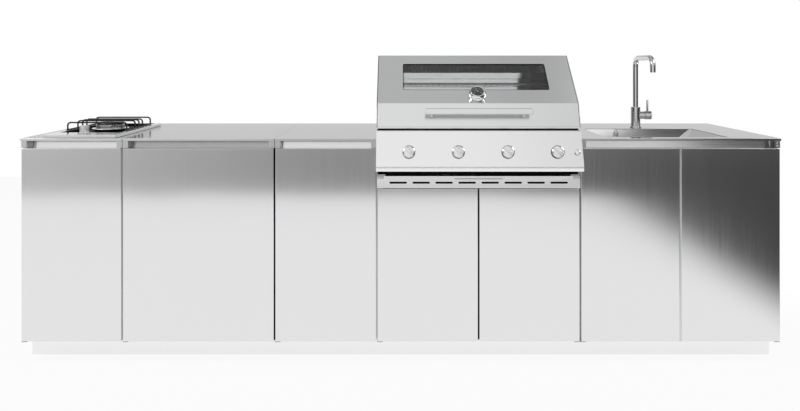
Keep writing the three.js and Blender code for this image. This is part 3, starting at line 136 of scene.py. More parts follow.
def set_ramp(node: bpy.types.Node, stops: Sequence[Pair]) -> None:
    """Set a colour ramp to grey stops.

    Args:
        node: The colour ramp.
        stops: Place and linear grey of each stop.
    """
    ramp = node.color_ramp
    ramp.interpolation = "EASE"
    while len(ramp.elements) < len(stops):
        ramp.elements.new(0.5)
    for element, (place, grey) in zip(ramp.elements, stops):
        element.position = place
        element.color = (grey, grey, grey, 1)


# Finishes


class Grain(Enum):
    """Direction of the lines that a belt or a lathe left. Turned lines run round the piece's own Z."""

    ALONG_ROW = (1.0, 0.0, 0.0)
    UPRIGHT = (0.0, 0.0, 1.0)
    TURNED = (0.0, 0.0, 0.0)


@dataclass(frozen=True)
class Finish:
    """A real material with its surface treatment, as one procedural material.

    The mottling is a slow change of colour and roughness over the surface, and the grit is its fine
    relief.
    """

    name: str
    colour: str
    roughness: float
    metallic: float = 0.0
    mottle_size: float = 0.05
    mottle_share: float = 0.06
    grit_size: float = 0.002
    grit_depth: float = 0.0
    coat: float = 0.0
    specular: float = 0.5
    edge_tint: float = 1.0
    rough_share: float = 0.15

    def build(self) -> bpy.types.Material:
        """Make the material.

        Returns:
            The material, with its shader wired up.
        """
        material = bpy.data.materials.new(self.name)
        material.use_nodes = True
        tree = material.node_tree
        shader = tree.nodes["Principled BSDF"]
        shader.inputs["Metallic"].default_value = self.metallic
        shader.inputs["Coat Weight"].default_value = self.coat
        shader.inputs["Specular IOR Level"].default_value = self.specular
        shader.inputs["Specular Tint"].default_value = (*[self.edge_tint] * 3, 1.0)
        material.diffuse_color = linear(self.colour)
        self.dress(tree, shader)
        return material

    def place(self, tree: Tree, size: Sequence[float]) -> Socket:
        """Coordinates on the piece, counted in a pattern's own size.

        Args:
            tree: The material's nodes.
            size: The pattern's size along each axis, in metres.

        Returns:
            The coordinates.
        """
        place = add_node(tree, "ShaderNodeTexCoord").outputs["Object"]
        scale = tuple(1 / length for length in size)
        scaled = add_node(tree, "ShaderNodeVectorMath", {"operation": "MULTIPLY"}, {0: place, 1: scale})
        return scaled.outputs[0]

    def noise(self, tree: Tree, size: Sequence[float], detail: float) -> Socket:
        """Soft noise whose patches have a size along each axis, in metres."""
        inputs = {"Vector": self.place(tree, size), "Scale": 1.0, "Detail": detail}
        return add_node(tree, "ShaderNodeTexNoise", inputs=inputs).outputs["Fac"]

    def spread(self, tree: Tree, source: Socket, low: float, high: float) -> Socket:
        """Stretch a noise so that its usual reach goes from one value to another."""
        reach = {"From Min": NOISE_REACH[0], "From Max": NOISE_REACH[1], "To Min": low, "To Max": high}
        return add_node(tree, "ShaderNodeMapRange", inputs={"Value": source, **reach}).outputs["Result"]

    def tinted(self, tree: Tree, factor: Socket, share: float) -> Socket:
        """Vary the colour's brightness either way.

        Args:
            tree: The material's nodes.
            factor: Noise that leads it.
            share: Largest change, as a share of the colour.

        Returns:
            The varied colour.
        """
        base = Vector(linear(self.colour)[:3])
        darker = (*(base * (1 - share)), 1.0)
        lighter = (*[min(1.0, channel) for channel in base * (1 + share)], 1.0)
        settings = {"data_type": "RGBA", "clamp_factor": True}
        mixed = add_node(tree, "ShaderNodeMix", settings, {"Factor": factor, 6: darker, 7: lighter})
        return mixed.outputs[2]

    def relief(self, tree: Tree, height: Socket, depth: float) -> Socket:
        """Turn a height pattern into a bumped normal."""
        inputs = {"Height": height, "Distance": depth, "Strength": 1.0}
        return add_node(tree, "ShaderNodeBump", inputs=inputs).outputs["Normal"]

    def roughen(self, tree: Tree, shader: bpy.types.Node, source: Socket) -> None:
        """Vary the roughness by its share either way, led by a noise."""
        rough = self.roughness * (1 - self.rough_share), self.roughness * (1 + self.rough_share)
        tree.links.new(self.spread(tree, source, *rough), shader.inputs["Roughness"])

    def dress(self, tree: Tree, shader: bpy.types.Node) -> None:
        """Wire the mottling and the grit into the shader.

        Args:
            tree: The material's nodes.
            shader: Its shader.
        """
        mottle = self.noise(tree, [self.mottle_size] * 3, 3.0)
        tree.links.new(self.tinted(tree, mottle, self.mottle_share), shader.inputs["Base Color"])
        self.roughen(tree, shader, mottle)
        if self.grit_depth > 0:
            grit = self.noise(tree, [self.grit_size] * 3, 4.0)
            tree.links.new(self.relief(tree, grit, self.grit_depth), shader.inputs["Normal"])


@dataclass(frozen=True)
class BrushedStainless(Finish):
    """Stainless steel, ground with a belt in one direction.

    The belt leaves fine parallel lines, so reflections spread across them and stay sharper along them.
    The lines are about 0.1 mm wide, too fine to show, and are drawn some millimetres wide. A large
    sheet is never quite flat, so its reflections wander a little.
    """

    metallic: float = 1.0
    rough_share: float = 0.1
    grain: Grain = Grain.ALONG_ROW
    anisotropy: float = 0.5
    line_width: float = 0.0035
    line_length: float = 0.3
    line_share: float = 0.025
    wave_length: float = 0.32
    wave_depth: float = 0.0

    def brush_lines(self, tree: Tree) -> Socket:
        """Noise drawn out along the grain, or wound round the axis on a turned piece.

        Args:
            tree: The material's nodes.

        Returns:
            The noise.
        """
        if self.grain is not Grain.TURNED:
            size = [self.line_length if along else self.line_width for along in self.grain.value]
            return self.noise(tree, size, 3.0)
        place = add_node(tree, "ShaderNodeTexCoord").outputs["Object"]
        parts = add_node(tree, "ShaderNodeSeparateXYZ", inputs={0: place})
        flat = add_node(tree, "ShaderNodeCombineXYZ", inputs={0: parts.outputs["X"], 1: parts.outputs["Y"]})
        radius = add_node(tree, "ShaderNodeVectorMath", {"operation": "LENGTH"}, {0: flat.outputs[0]})
        section = add_node(
            tree, "ShaderNodeCombineXYZ", inputs={0: radius.outputs["Value"], 1: parts.outputs["Z"]}
        )
        inputs = {"Vector": section.outputs[0], "Scale": 1 / self.line_width, "Detail": 2.0}
        return add_node(tree, "ShaderNodeTexNoise", inputs=inputs).outputs["Fac"]

    def dress(self, tree: Tree, shader: bpy.types.Node) -> None:
        """Wire the brush lines, their direction and the sheet's slow waves into the shader.

        Args:
            tree: The material's nodes.
            shader: Its shader.
        """
        lines = self.brush_lines(tree)
        tree.links.new(self.tinted(tree, lines, self.line_share), shader.inputs["Base Color"])
        self.roughen(tree, shader, lines)
        shader.inputs["Anisotropic"].default_value = self.anisotropy
        geometry = add_node(tree, "ShaderNodeNewGeometry")
        along: object = self.grain.value
        if self.grain is Grain.TURNED:
            along = add_node(tree, "ShaderNodeTangent", {"direction_type": "RADIAL", "axis": "Z"}).outputs[0]
        across = add_node(
            tree, "ShaderNodeVectorMath", {"operation": "CROSS_PRODUCT"},
            {0: geometry.outputs["Normal"], 1: along},
        )
        steady = add_node(
            tree, "ShaderNodeVectorMath", {"operation": "ADD"}, {0: across.outputs[0], 1: TANGENT_TRACE}
        )
        tangent = add_node(tree, "ShaderNodeVectorMath", {"operation": "NORMALIZE"}, {0: steady.outputs[0]})
        tree.links.new(tangent.outputs[0], shader.inputs["Tangent"])
        if self.wave_depth > 0:
            waves = self.noise(tree, [self.wave_length] * 3, 1.0)
            tree.links.new(self.relief(tree, waves, self.wave_depth), shader.inputs["Normal"])


@dataclass(frozen=True)
class SmokedGlass(Finish):
    """Toughened float glass, tinted grey in the melt: clear to look through, with a hard gloss."""

    shadow: float = 0.0

    def dress(self, tree: Tree, shader: bpy.types.Node) -> None:
        """Let light through, with a trace of haze from the fire.

        Args:
            tree: The material's nodes.
            shader: Its shader.
        """
        shader.inputs["Transmission Weight"].default_value = 1.0
        shader.inputs["IOR"].default_value = 1.5
        haze = self.noise(tree, [self.mottle_size] * 3, 2.0)
        tree.links.new(self.tinted(tree, haze, self.mottle_share), shader.inputs["Base Color"])
        rough = self.spread(tree, haze, self.roughness, self.roughness * 2)
        tree.links.new(rough, shader.inputs["Roughness"])
        # Shadow rays pass the pane, so that daylight gets in behind it.
        rays = add_node(tree, "ShaderNodeLightPath")
        opening = add_node(
            tree, "ShaderNodeMapRange",
            inputs={"Value": rays.outputs["Is Shadow Ray"], "To Min": 1.0, "To Max": self.shadow},
        )
        tree.links.new(opening.outputs["Result"], shader.inputs["Alpha"])


class Finishes:
    """The finishes of the row, each made once and shared."""

    def __init__(self) -> None:
        """Make every finish."""
        # Satin steel: lines run up the door, so reflections blur sideways and keep their level edges.
        self.door = BrushedStainless(
            "stainless_door_sheet_brushed_upright", "#e7e7e8", 0.155, grain=Grain.UPRIGHT,
            anisotropy=0.85, line_share=0.02, wave_depth=0.0007,
        ).build()
        # A duller cut of the same sheet, so the inside of a cabinet stays quiet.
        self.cabinet = BrushedStainless(
            "stainless_cabinet_sheet_brushed_upright", "#dcddde", 0.25, grain=Grain.UPRIGHT,
            line_share=0.03, wave_depth=0.0004,
        ).build()
        # Long and slightly wavy, so the bright wall that it mirrors comes and goes along it.
        self.rail = BrushedStainless(
            "stainless_finger_rail_brushed_along_row", "#e4e4e5", 0.2, anisotropy=0.6,
            wave_length=0.5, wave_depth=0.002,
        ).build()
        # A darker, slightly rougher copy of the rail steel: its darker colour is painted shade, so the
        # middle rail looks greyer than its neighbours.
        self.shaded_rail = BrushedStainless(
            "stainless_finger_rail_painted_shade", "#b4b4b5", 0.25, anisotropy=0.6, wave_length=0.5
        ).build()
        # A paler copy of the sheet near the floor, which it mirrors almost white: the paler colour is
        # painted light against the shade under the overhang.
        self.plinth = BrushedStainless(
            "stainless_plinth_sheet_painted_light", "#f1f1f1", 0.16, anisotropy=0.4
        ).build()
        # Worktop steel is ground finer, so it mirrors what stands on it.
        self.worktop = BrushedStainless(
            "stainless_worktop_sheet_fine_ground", "#ececed", 0.15, anisotropy=0.3, line_share=0.03,
            wave_depth=0.0003, edge_tint=0.64,
        ).build()
        # Satin ground after drawing: soft, bright flanks that still show where the ceiling darkens.
        self.bowl = BrushedStainless(
            "stainless_bowl_drawn_and_satin_ground", "#efefef", 0.1, anisotropy=0.3
        ).build()
        # The hood is brushed along the row, so its panels stay even from end to end.
        self.grill = BrushedStainless(
            "stainless_grill_sheet_brushed_along_row", "#e2e3e3", 0.2, anisotropy=0.4,
            line_width=0.0018, line_share=0.02, wave_depth=0.0001,
        ).build()
        # A paler copy of the hood's brushed sheet: the paler colour is painted light, so the fascia is the
        # brightest panel.
        self.fascia = BrushedStainless(
            "stainless_sheet_brushed_along_row_painted_light", "#f1f1f2", 0.2, anisotropy=0.4,
            line_width=0.0018, line_share=0.02,
        ).build()
        # Bright rolled and buckled by heat, so what shows through the window runs in uneven streaks.
        self.liner = BrushedStainless(
            "stainless_flue_baffle_bright_rolled", "#e6e6e6", 0.12, line_width=0.003,
            line_share=0.12, wave_length=0.12, wave_depth=0.0016,
        ).build()
        # Left as it came from the mill: grey and dull.
        self.plain = BrushedStainless("stainless_sheet_as_rolled", "#a9aaab", 0.42, anisotropy=0.2).build()
        # Straw-coloured from the heat, and blotchy.
        self.firebox = BrushedStainless(
            "stainless_sheet_heat_tinted", "#c9c6c1", 0.42, anisotropy=0.2, line_share=0.08
        ).build()
        # Brushed, then polished: dark and bright stripes run up the tube.
        self.tap = BrushedStainless(
            "stainless_tube_polished_after_brushing", "#d2d2d2", 0.12, grain=Grain.UPRIGHT,
            anisotropy=0.2, line_width=0.004,
        ).build()
        # Turned on a lathe, so the gloss draws a fan over the knob's face.
        self.spun = BrushedStainless(
            "stainless_knob_face_spun", "#e6e6e7", 0.2, grain=Grain.TURNED, anisotropy=0.8,
            line_width=0.0004, line_share=0.06,
        ).build()
        # Chrome plate is a mirror with a faint haze from polishing.
        self.chrome = Finish(
            "chrome_plate_polished", "#ececed", 0.07, metallic=1.0, mottle_size=0.02, mottle_share=0.02
        ).build()
        # Satin chrome scatters the light, so a knob of it looks pale and even.
        self.satin = Finish(
            "zinc_knob_satin_chromed", "#e4e3e6", 0.42, metallic=1.0, mottle_size=0.01, mottle_share=0.03
        ).build()
        # Black chrome mirrors like chrome, but dark. It draws a fine rim round each knob, partly the knob's
        # own dark skirt and partly painted shade of the gap behind it. It also paints the shade line along
        # the handle's top and the shade at the end of the sink's finger recess.
        self.black_chrome_shade = Finish(
            "black_chrome_and_painted_shade", "#3a3b3d", 0.16, metallic=1.0, mottle_size=0.01, mottle_share=0.05
        ).build()
        # Enamelled iron: black, with the casting's skin under the glaze.
        self.iron = Finish(
            "cast_iron_matt_enamelled", "#161617", 0.5, mottle_share=0.25, grit_size=0.0022,
            grit_depth=0.0003,
        ).build()
        # Thin matt enamel, so the wires read as black lines with a soft highlight.
        self.wire = Finish("steel_wire_matt_enamelled", "#0e0e0f", 0.55, mottle_share=0.2).build()
        # Glassy enamel: black with a sharp gloss.
        self.enamel = Finish(
            "pressed_steel_vitreous_enamel", "#19191b", 0.16, mottle_share=0.15, coat=0.6
        ).build()
        # The hob's tray and the drip tray are matt black enamel. Their black also paints the shade in the
        # hob's well and in the gap under the fascia, so they stay dark when seen at a low angle.
        self.tray = Finish(
            "matt_black_enamel_and_painted_shade", "#0c0c0d", 0.5, mottle_share=0.15, specular=0.08
        ).build()
        # Near-black with next to no gloss. It is the colour of black parts such as the gasket, the seal and
        # the pointer line. It is also painted shade in gaps, slots and holes where no light gets in, so they
        # stay black.
        self.dark = Finish("near_black_and_painted_shade", "#060607", 0.8, mottle_share=0.2, specular=0.05).build()
        # Screen ink on anodised sheet: a flat near-black that the pale figures stand out from.
        self.dial = Finish("aluminium_dial_printed_black", "#2b2c2e", 0.35, mottle_share=0.1).build()
        # The figures' own ink: a clean white without gloss.
        self.mark = Finish("dial_print_white", "#f1f1ee", 0.5, mottle_size=0.004, mottle_share=0.03).build()
        # A warm white, so the needle reads apart from the print.
        self.needle = Finish("dial_needle_pale_lacquer", "#dedcd6", 0.4, mottle_size=0.004).build()
        # Drawn brass, dulled by handling: a soft yellow in the dark of the cabinet.
        self.brass = Finish("brass_tube_drawn", "#b99a58", 0.32, metallic=1.0, mottle_share=0.12).build()
        # Moulded with a fine spark texture: an even, waxy white.
        self.plastic = Finish(
            "polypropylene_moulded", "#e7e8e8", 0.36, mottle_share=0.02, grit_size=0.0012, grit_depth=0.00004
        ).build()
        # Faintly grey and almost without haze, so the inside of the hood shows through it.
        self.window = SmokedGlass("float_glass_smoked", "#f1f3f3", 0.008, mottle_share=0.03).build()
        # The dial's glass is clearer still, and shows only as a glint.
        self.clear = SmokedGlass("mineral_glass_clear", "#f4f6f6", 0.01, mottle_share=0.01).build()


# Meshes


def round_points(radius: float, count: int) -> list[Pair]:
    """Points on a circle about the origin, anticlockwise from the X axis."""
    return [
        (radius * math.cos(math.tau * i / count), radius * math.sin(math.tau * i / count))
        for i in range(count)
    ]


def lobed_ring(radius: float, height: float, lobes: int, depth: float, steps: int) -> list[Point]:
    """Points of a level ring with a wavy outline, for knobs that are moulded with lobes or flutes.

    Args:
        radius: Radius of the lobes' tips.
        height: Height of the ring.
        lobes: Number of lobes.
        depth: Half the depth between them, as a share of the radius.
        steps: Points on each lobe.

    Returns:
        The points, anticlockwise.
    """
    ring = []
    for i in range(lobes * steps):
        angle = math.tau * i / (lobes * steps)
        reach = radius * (1 - depth + depth * math.cos(lobes * angle))
        ring.append((reach * math.cos(angle), reach * math.sin(angle), height))
    return ring


def arc(centre: Pair, radius: float, start: float, end: float, steps: int) -> list[Pair]:
    """Points of an arc.

    Args:
        centre: Middle of the circle.
        radius: Its radius.
        start: First angle in degrees.
        end: Last angle in degrees.
        steps: Number of chords.

    Returns:
        The points, both ends included.
    """
    angles = [math.radians(start + (end - start) * i / steps) for i in range(steps + 1)]
    return [(centre[0] + radius * math.cos(a), centre[1] + radius * math.sin(a)) for a in angles]


def rounded_outline(low: Pair, high: Pair, corner: float, steps: int = 8) -> list[Pair]:
    """A rectangle with round corners, anticlockwise.

    Args:
        low: Its lowest corner.
        high: Its highest corner.
        corner: Radius of the corners.
        steps: Chords in each corner.

    Returns:
        The points of the outline.
    """
    right, top = high[0] - corner, high[1] - corner
    left, bottom = low[0] + corner, low[1] + corner
    centres = [(right, top), (left, top), (left, bottom), (right, bottom)]
    return [
        point
        for turn, centre in enumerate(centres)
        for point in arc(centre, corner, 90 * turn, 90 * turn + 90, steps)
    ]


def bent_route(corners: Sequence[Sequence[float]], radius: float, steps: int = 10) -> list[Vector]:
    """A route through corner points with a round bend at each inner one.

    Args:
        corners: The points.
        radius: Radius of the bends.
        steps: Chords in each bend.

    Returns:
        Points along the route.
    """
    points = [Vector(corner) for corner in corners]
    route = [points[0]]
    for before, corner, after in zip(points, points[1:], points[2:]):
        back = (before - corner).normalized()
        ahead = (after - corner).normalized()
        half = back.angle(ahead) / 2
        centre = corner + (back + ahead).normalized() * radius / math.sin(half)
        first = corner + back * radius / math.tan(half) - centre
        last = corner + ahead * radius / math.tan(half) - centre
        sweep = first.angle(last)
        for i in range(steps + 1):
            share = sweep * i / steps
            route.append(
                centre + (first * math.sin(sweep - share) + last * math.sin(share)) / math.sin(sweep)
            )
    route.append(points[-1])
    return route


def across(x: float = 0.0) -> Matrix:
    """A frame for sections of the row at an X: its X and Y are the part's Y and Z."""
    return Matrix(((0, 0, 1, x), (1, 0, 0, 0), (0, 1, 0, 0), (0, 0, 0, 1)))


def square_frame(origin: Sequence[float], out: Sequence[float]) -> Matrix:
    """A frame whose Z points out of a surface and whose X runs along the row as far as it can.

    Args:
        origin: Place of the frame.
        out: Direction of its Z.

    Returns:
        The matrix from the frame to the row.
    """
    z = Vector(out).normalized()
    x = Vector((1, 0, 0))
    if abs(z.dot(x)) > 0.99:
        x = Vector((0, 1, 0))
    y = z.cross(x).normalized()
    x = y.cross(z)
    frame = Matrix((x, y, z)).transposed().to_4x4()
    frame.translation = Vector(origin)
    return frame


class Shape:
    """A mesh that is built up from turned, swept, lofted and folded forms."""

    def __init__(self) -> None:
        """Start an empty mesh."""
        self.mesh = bmesh.new()

    def add(self, other: bmesh.types.BMesh, frame: Matrix | None = None) -> "Shape":
        """Take another mesh in, and free it.

        Args:
            other: The mesh.
            frame: Frame that it lies in.

        Returns:
            The shape itself.
        """
        data = bpy.data.meshes.new("part")
        other.to_mesh(data)
        other.free()
        if frame is not None:
            data.transform(frame)
        self.mesh.from_mesh(data)
        bpy.data.meshes.remove(data)
        return self

    def loft(
        self, rings: Sequence[Sequence[Sequence[float]]], frame: Matrix | None = None, caps: bool = True
    ) -> "Shape":
        """Skin rings of equally many points.

        Args:
            rings: The rings in order. A ring of one point is a tip.
            frame: Frame that the points are in.
            caps: Whether the first and the last ring are closed.

        Returns:
            The shape itself.
        """
        part = bmesh.new()
        made = [[part.verts.new(point) for point in ring] for ring in rings]
        for low, high in zip(made, made[1:]):
            count = max(len(low), len(high))
            for i in range(count):
                after = (i + 1) % count
                corners = [
                    low[i % len(low)], low[after % len(low)], high[after % len(high)], high[i % len(high)]
                ]
                face = list(dict.fromkeys(corners))
                if len(face) > 2:
                    part.faces.new(face)
        if caps:
            for ring in (made[0], made[-1]):
                if len(ring) > 2:
                    part.faces.new(ring)
        bmesh.ops.recalc_face_normals(part, faces=part.faces[:])
        return self.add(part, frame)

    def turn(
        self, profile: Sequence[Pair], frame: Matrix | None = None, steps: int = ROUND_STEPS
    ) -> "Shape":
        """Turn a profile of radius and height about the frame's Z.

        Args:
            profile: Its points. A radius of zero ends on the axis.
            frame: Frame of the axis.
            steps: Faces in a full turn.

        Returns:
            The shape itself.
        """
        rings = []
        for radius, height in profile:
            points = [(0.0, 0.0)] if radius == 0 else round_points(radius, steps)
            rings.append([(x, y, height) for x, y in points])
        return self.loft(rings, frame)

    def tube(self, route: Sequence[Vector], radius: float, sides: int = WIRE_SIDES) -> "Shape":
        """Sweep a round section along a route.

        Args:
            route: Points of its middle line.
            radius: Radius of the section.
            sides: Faces round the section.

        Returns:
            The shape itself.
        """
        along = [(b - a).normalized() for a, b in zip(route, route[1:])]
        headings = [along[0], *[(a + b).normalized() for a, b in zip(along, along[1:])], along[-1]]
        side = headings[0].orthogonal().normalized()
        rings = []
        for point, heading in zip(route, headings):
            side = (side - heading * side.dot(heading)).normalized()
            up = heading.cross(side)
            rings.append([point + side * x + up * y for x, y in round_points(radius, sides)])
        return self.loft(rings)

    def plate(
        self, outline: Sequence[Pair], low: float, high: float, frame: Matrix | None = None,
        edge: float = 0.0,
    ) -> "Shape":
        """Draw a flat outline out along the frame's Z, with softened rims.

        Args:
            outline: Points in the frame's X and Y.
            low: Height of its lower face.
            high: Height of its upper face.
            frame: The frame.
            edge: Radius of the rims.

        Returns:
            The shape itself.
        """
        part = bmesh.new()
        face = part.faces.new([part.verts.new((x, y, low)) for x, y in outline])
        drawn = bmesh.ops.extrude_face_region(part, geom=[face])
        moved = [item for item in drawn["geom"] if isinstance(item, bmesh.types.BMVert)]
        bmesh.ops.translate(part, verts=moved, vec=(0, 0, high - low))
        bmesh.ops.recalc_face_normals(part, faces=part.faces[:])
        if edge > 0:
            rims = [e for e in part.edges if abs(e.verts[0].co.z - e.verts[1].co.z) < CLEARANCE / 10]
            soften(part, rims, edge)
        return self.add(part, frame)

    def block(self, low: Sequence[float], high: Sequence[float], edge: float = 0.0) -> "Shape":
        """Add a block with rounded edges.

        Args:
            low: Its lowest corner.
            high: Its highest corner.
            edge: Radius of its edges.

        Returns:
            The shape itself.
        """
        part = bmesh.new()
        size = Vector(high) - Vector(low)
        middle = (Vector(high) + Vector(low)) / 2
        matrix = Matrix.Translation(middle) @ Matrix.Diagonal((*size, 1))
        bmesh.ops.create_cube(part, size=1, matrix=matrix)
        if edge > 0:
            soften(part, part.edges[:], edge)
        return self.add(part)

    def copy(self, node: bpy.types.Object) -> "Shape":
        """Take in a solid of the frame, with its flat faces whole again.

        Args:
            node: The solid.

        Returns:
            The shape itself.
        """
        part = bmesh.new()
        part.from_mesh(node.data)
        bmesh.ops.remove_doubles(part, verts=part.verts[:], dist=CLEARANCE / 100)
        bmesh.ops.dissolve_limit(part, angle_limit=FLAT_ANGLE, verts=part.verts[:], edges=part.edges[:])
        return self.add(part)

    def fold(self, radius: float, chosen: Callable[[Vector], bool] | None = None, steps: int = 3) -> "Shape":
        """Round the sharp edges, or those of them whose middle is chosen.

        Args:
            radius: Radius of the rounding.
            chosen: Says from an edge's middle whether it is rounded.
            steps: Faces in each rounding.

        Returns:
            The shape itself.
        """
        edges = [
            edge
            for edge in self.mesh.edges
            if edge.is_manifold
            and edge.calc_face_angle() > FOLD_ANGLE
            and (chosen is None or chosen((edge.verts[0].co + edge.verts[1].co) / 2))
        ]
        soften(self.mesh, edges, radius, steps)
        return self

    def cut(self, place: Sequence[float], out: Sequence[float]) -> "Shape":
        """Take away what lies past a plane and close the mesh there.

        Args:
            place: A point of the plane.
            out: Direction from it to what is taken away.

        Returns:
            The shape itself.
        """
        geometry = self.mesh.verts[:] + self.mesh.edges[:] + self.mesh.faces[:]
        result = bmesh.ops.bisect_plane(
            self.mesh, geom=geometry, plane_co=place, plane_no=out, clear_outer=True
        )
        rim = [item for item in result["geom_cut"] if isinstance(item, bmesh.types.BMEdge)]
        bmesh.ops.holes_fill(self.mesh, edges=rim)
        return self

    def piece(
        self, name: str, material: bpy.types.Material, flat: bool = False, axes: Matrix | None = None
    ) -> bpy.types.Object:
        """Make the object.

        Args:
            name: Its name.
            material: Its finish.
            flat: Whether large flat faces keep their own normals beside round edges.
            axes: Frame that the object's own axes lie in, for a turned finish.

        Returns:
            The object, linked to the scene.
        """
        data = bpy.data.meshes.new(name)
        self.mesh.to_mesh(data)
        self.mesh.free()
        data.shade_smooth()
        data.set_sharp_from_angle(angle=SMOOTH_ANGLE)
        data.materials.append(material)
        made = bpy.data.objects.new(name, data)
        bpy.context.scene.collection.objects.link(made)
        if axes is not None:
            data.transform(axes.inverted())
            made.matrix_world = axes
        if flat:
            weights = made.modifiers.new("face_weights", "WEIGHTED_NORMAL")
            weights.keep_sharp = True
        return made


def soften(
    mesh: bmesh.types.BMesh, edges: Iterable[bmesh.types.BMEdge], radius: float, steps: int = 3
) -> None:
    """Round edges of a mesh with a number of faces in each rounding."""
    bmesh.ops.bevel(
        mesh, geom=list(edges), offset=radius, segments=steps, profile=0.5, affect="EDGES",
        clamp_overlap=True,
    )


def lettering(words: str, size: float, depth: float) -> bmesh.types.BMesh:
    """Plain figures as a mesh, centred on the origin.

    Args:
        words: The figures.
        size: Their height.
        depth: Half their thickness.

    Returns:
        The mesh.
    """
    curve = bpy.data.curves.new("figures", "FONT")
    curve.body = words
    curve.size = size
    curve.extrude = depth
    curve.align_x = "CENTER"
    curve.align_y = "CENTER"
    curve.resolution_u = 3
    holder = bpy.data.objects.new("figures", curve)
    bpy.context.scene.collection.objects.link(holder)
    data = holder.to_mesh()
    made = bmesh.new()
    made.from_mesh(data)
    holder.to_mesh_clear()
    bpy.data.objects.remove(holder)
    bpy.data.curves.remove(curve)
    return made


# Sub-assemblies


@dataclass
class SubAssembly:
    """Pieces that are made and dressed together.

    The frame and the finishes are shared by all of them.
    """

    frame: dict[str, object]
    finishes: Finishes

    def node(self, name: str) -> bpy.types.Object:
        """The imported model's object of that name."""
        return self.frame["nodes"][name]

    def dress(self, material: bpy.types.Material, *names: str) -> None:
        """Give nodes that keep their shape their finish.

        Args:
            material: The finish.
            names: The nodes.
        """
        for name in names:
            slots = self.node(name).data.materials
            slots.clear()
            slots.append(material)
            log.info("%s dressed in %s", name, material.name)

    def fit(self, piece: bpy.types.Object, body: str, slot: str, *nodes: str) -> None:
        """Fasten a piece to its body and hide the nodes that it replaces.

        Args:
            piece: The piece.
            body: Body that carries it.
            slot: The record's slot of its finish; not used.
            nodes: Nodes that it replaces.
        """
        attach(piece, body)
        if nodes:
            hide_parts(*nodes)
        log.info("%s fitted to %s", piece.name, body)

    def refined(
        self, name: str, body: str, slot: str, material: bpy.types.Material, edge: float,
        chosen: Callable[[Vector], bool] | None = None,
    ) -> None:
        """Make a node again with folded or ground edges, in its place."""
        shape = Shape().copy(self.node(name)).fold(edge, chosen)
        self.fit(shape.piece(f"{name}_sheet", material, flat=True), body, slot, name)

    def joint(self, name: str) -> dict[str, object]:
        """The record's joint of that name."""
        return next(joint for joint in self.frame["joints"] if joint["name"] == name)

    def joint_frame(self, name: str) -> Matrix:
        """A frame at a hinge whose Z is the hinge's axis."""
        joint = self.joint(name)
        return square_frame(joint["pos_m"], joint["axis"])

    def local_box(self, name: str, frame: Matrix) -> tuple[Vector, Vector]:
        """Measure a node in a frame.

        Args:
            name: The node.
            frame: The frame.

        Returns:
            Its lowest and its highest corner.
        """
        back = frame.inverted()
        sides = list(zip(*[back @ vertex.co for vertex in self.node(name).data.vertices]))
        return Vector([min(side) for side in sides]), Vector([max(side) for side in sides])


@dataclass
class Doors(SubAssembly):
    """Folded steel doors: a front pan with round edges, closed by an inner pan at the back."""

    names: tuple[str, ...] = (
        "hob", "wide", "narrow", "grill_left", "grill_right", "sink_left", "sink_right"
    )
    edge_radius: float = 0.0016
    pan_margin: float = 0.016
    pan_step: float = 0.0025
    pan_depth: float = 0.0012
    bumper_radius: float = 0.005
    bumper_height: float = 0.0022
    bumper_inset: float = 0.03
    bumper_share: float = 0.6
    bumper_top: float = 0.7

    def build(self) -> None:
        """Make every door with its bumpers."""
        for name in self.names:
            self.door(name)

    def door(self, name: str) -> None:
        """Make one door.

        Args:
            name: The door's place in the row.
        """
        node = f"door_{name}"
        low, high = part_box(node)
        shape = Shape().block(low, high, self.edge_radius)
        back = max(shape.mesh.faces, key=lambda face: face.calc_area() * face.normal.y)
        bmesh.ops.inset_region(shape.mesh, faces=[back], thickness=self.pan_margin)
        bmesh.ops.inset_region(shape.mesh, faces=[back], thickness=self.pan_step, depth=-self.pan_depth)
        door = shape.piece(f"{node}_pan", self.finishes.door, flat=True)
        self.fit(door, node, "door_steel", node)
        hinge_x = self.joint(f"{node}_hinge")["pos_m"][0]
        free_x = high.x if abs(hinge_x - low.x) < abs(hinge_x - high.x) else low.x
        inward = self.bumper_inset if free_x == low.x else -self.bumper_inset
        radius, tall, sunk = self.bumper_radius, self.bumper_height, -self.pan_depth / 2
        dome = [(radius, tall * self.bumper_share), (radius * self.bumper_top, tall), (0, tall)]
        bumpers = Shape()
        for height in (low.z + self.bumper_inset * 2, high.z - self.bumper_inset * 2):
            spot = square_frame((free_x + inward, high.y, height), (0, 1, 0))
            bumpers.turn([(0, sunk), (radius, sunk), *dome], spot, steps=24)
        self.fit(bumpers.piece(f"{node}_bumpers", self.finishes.plastic), node, "white_plastic")


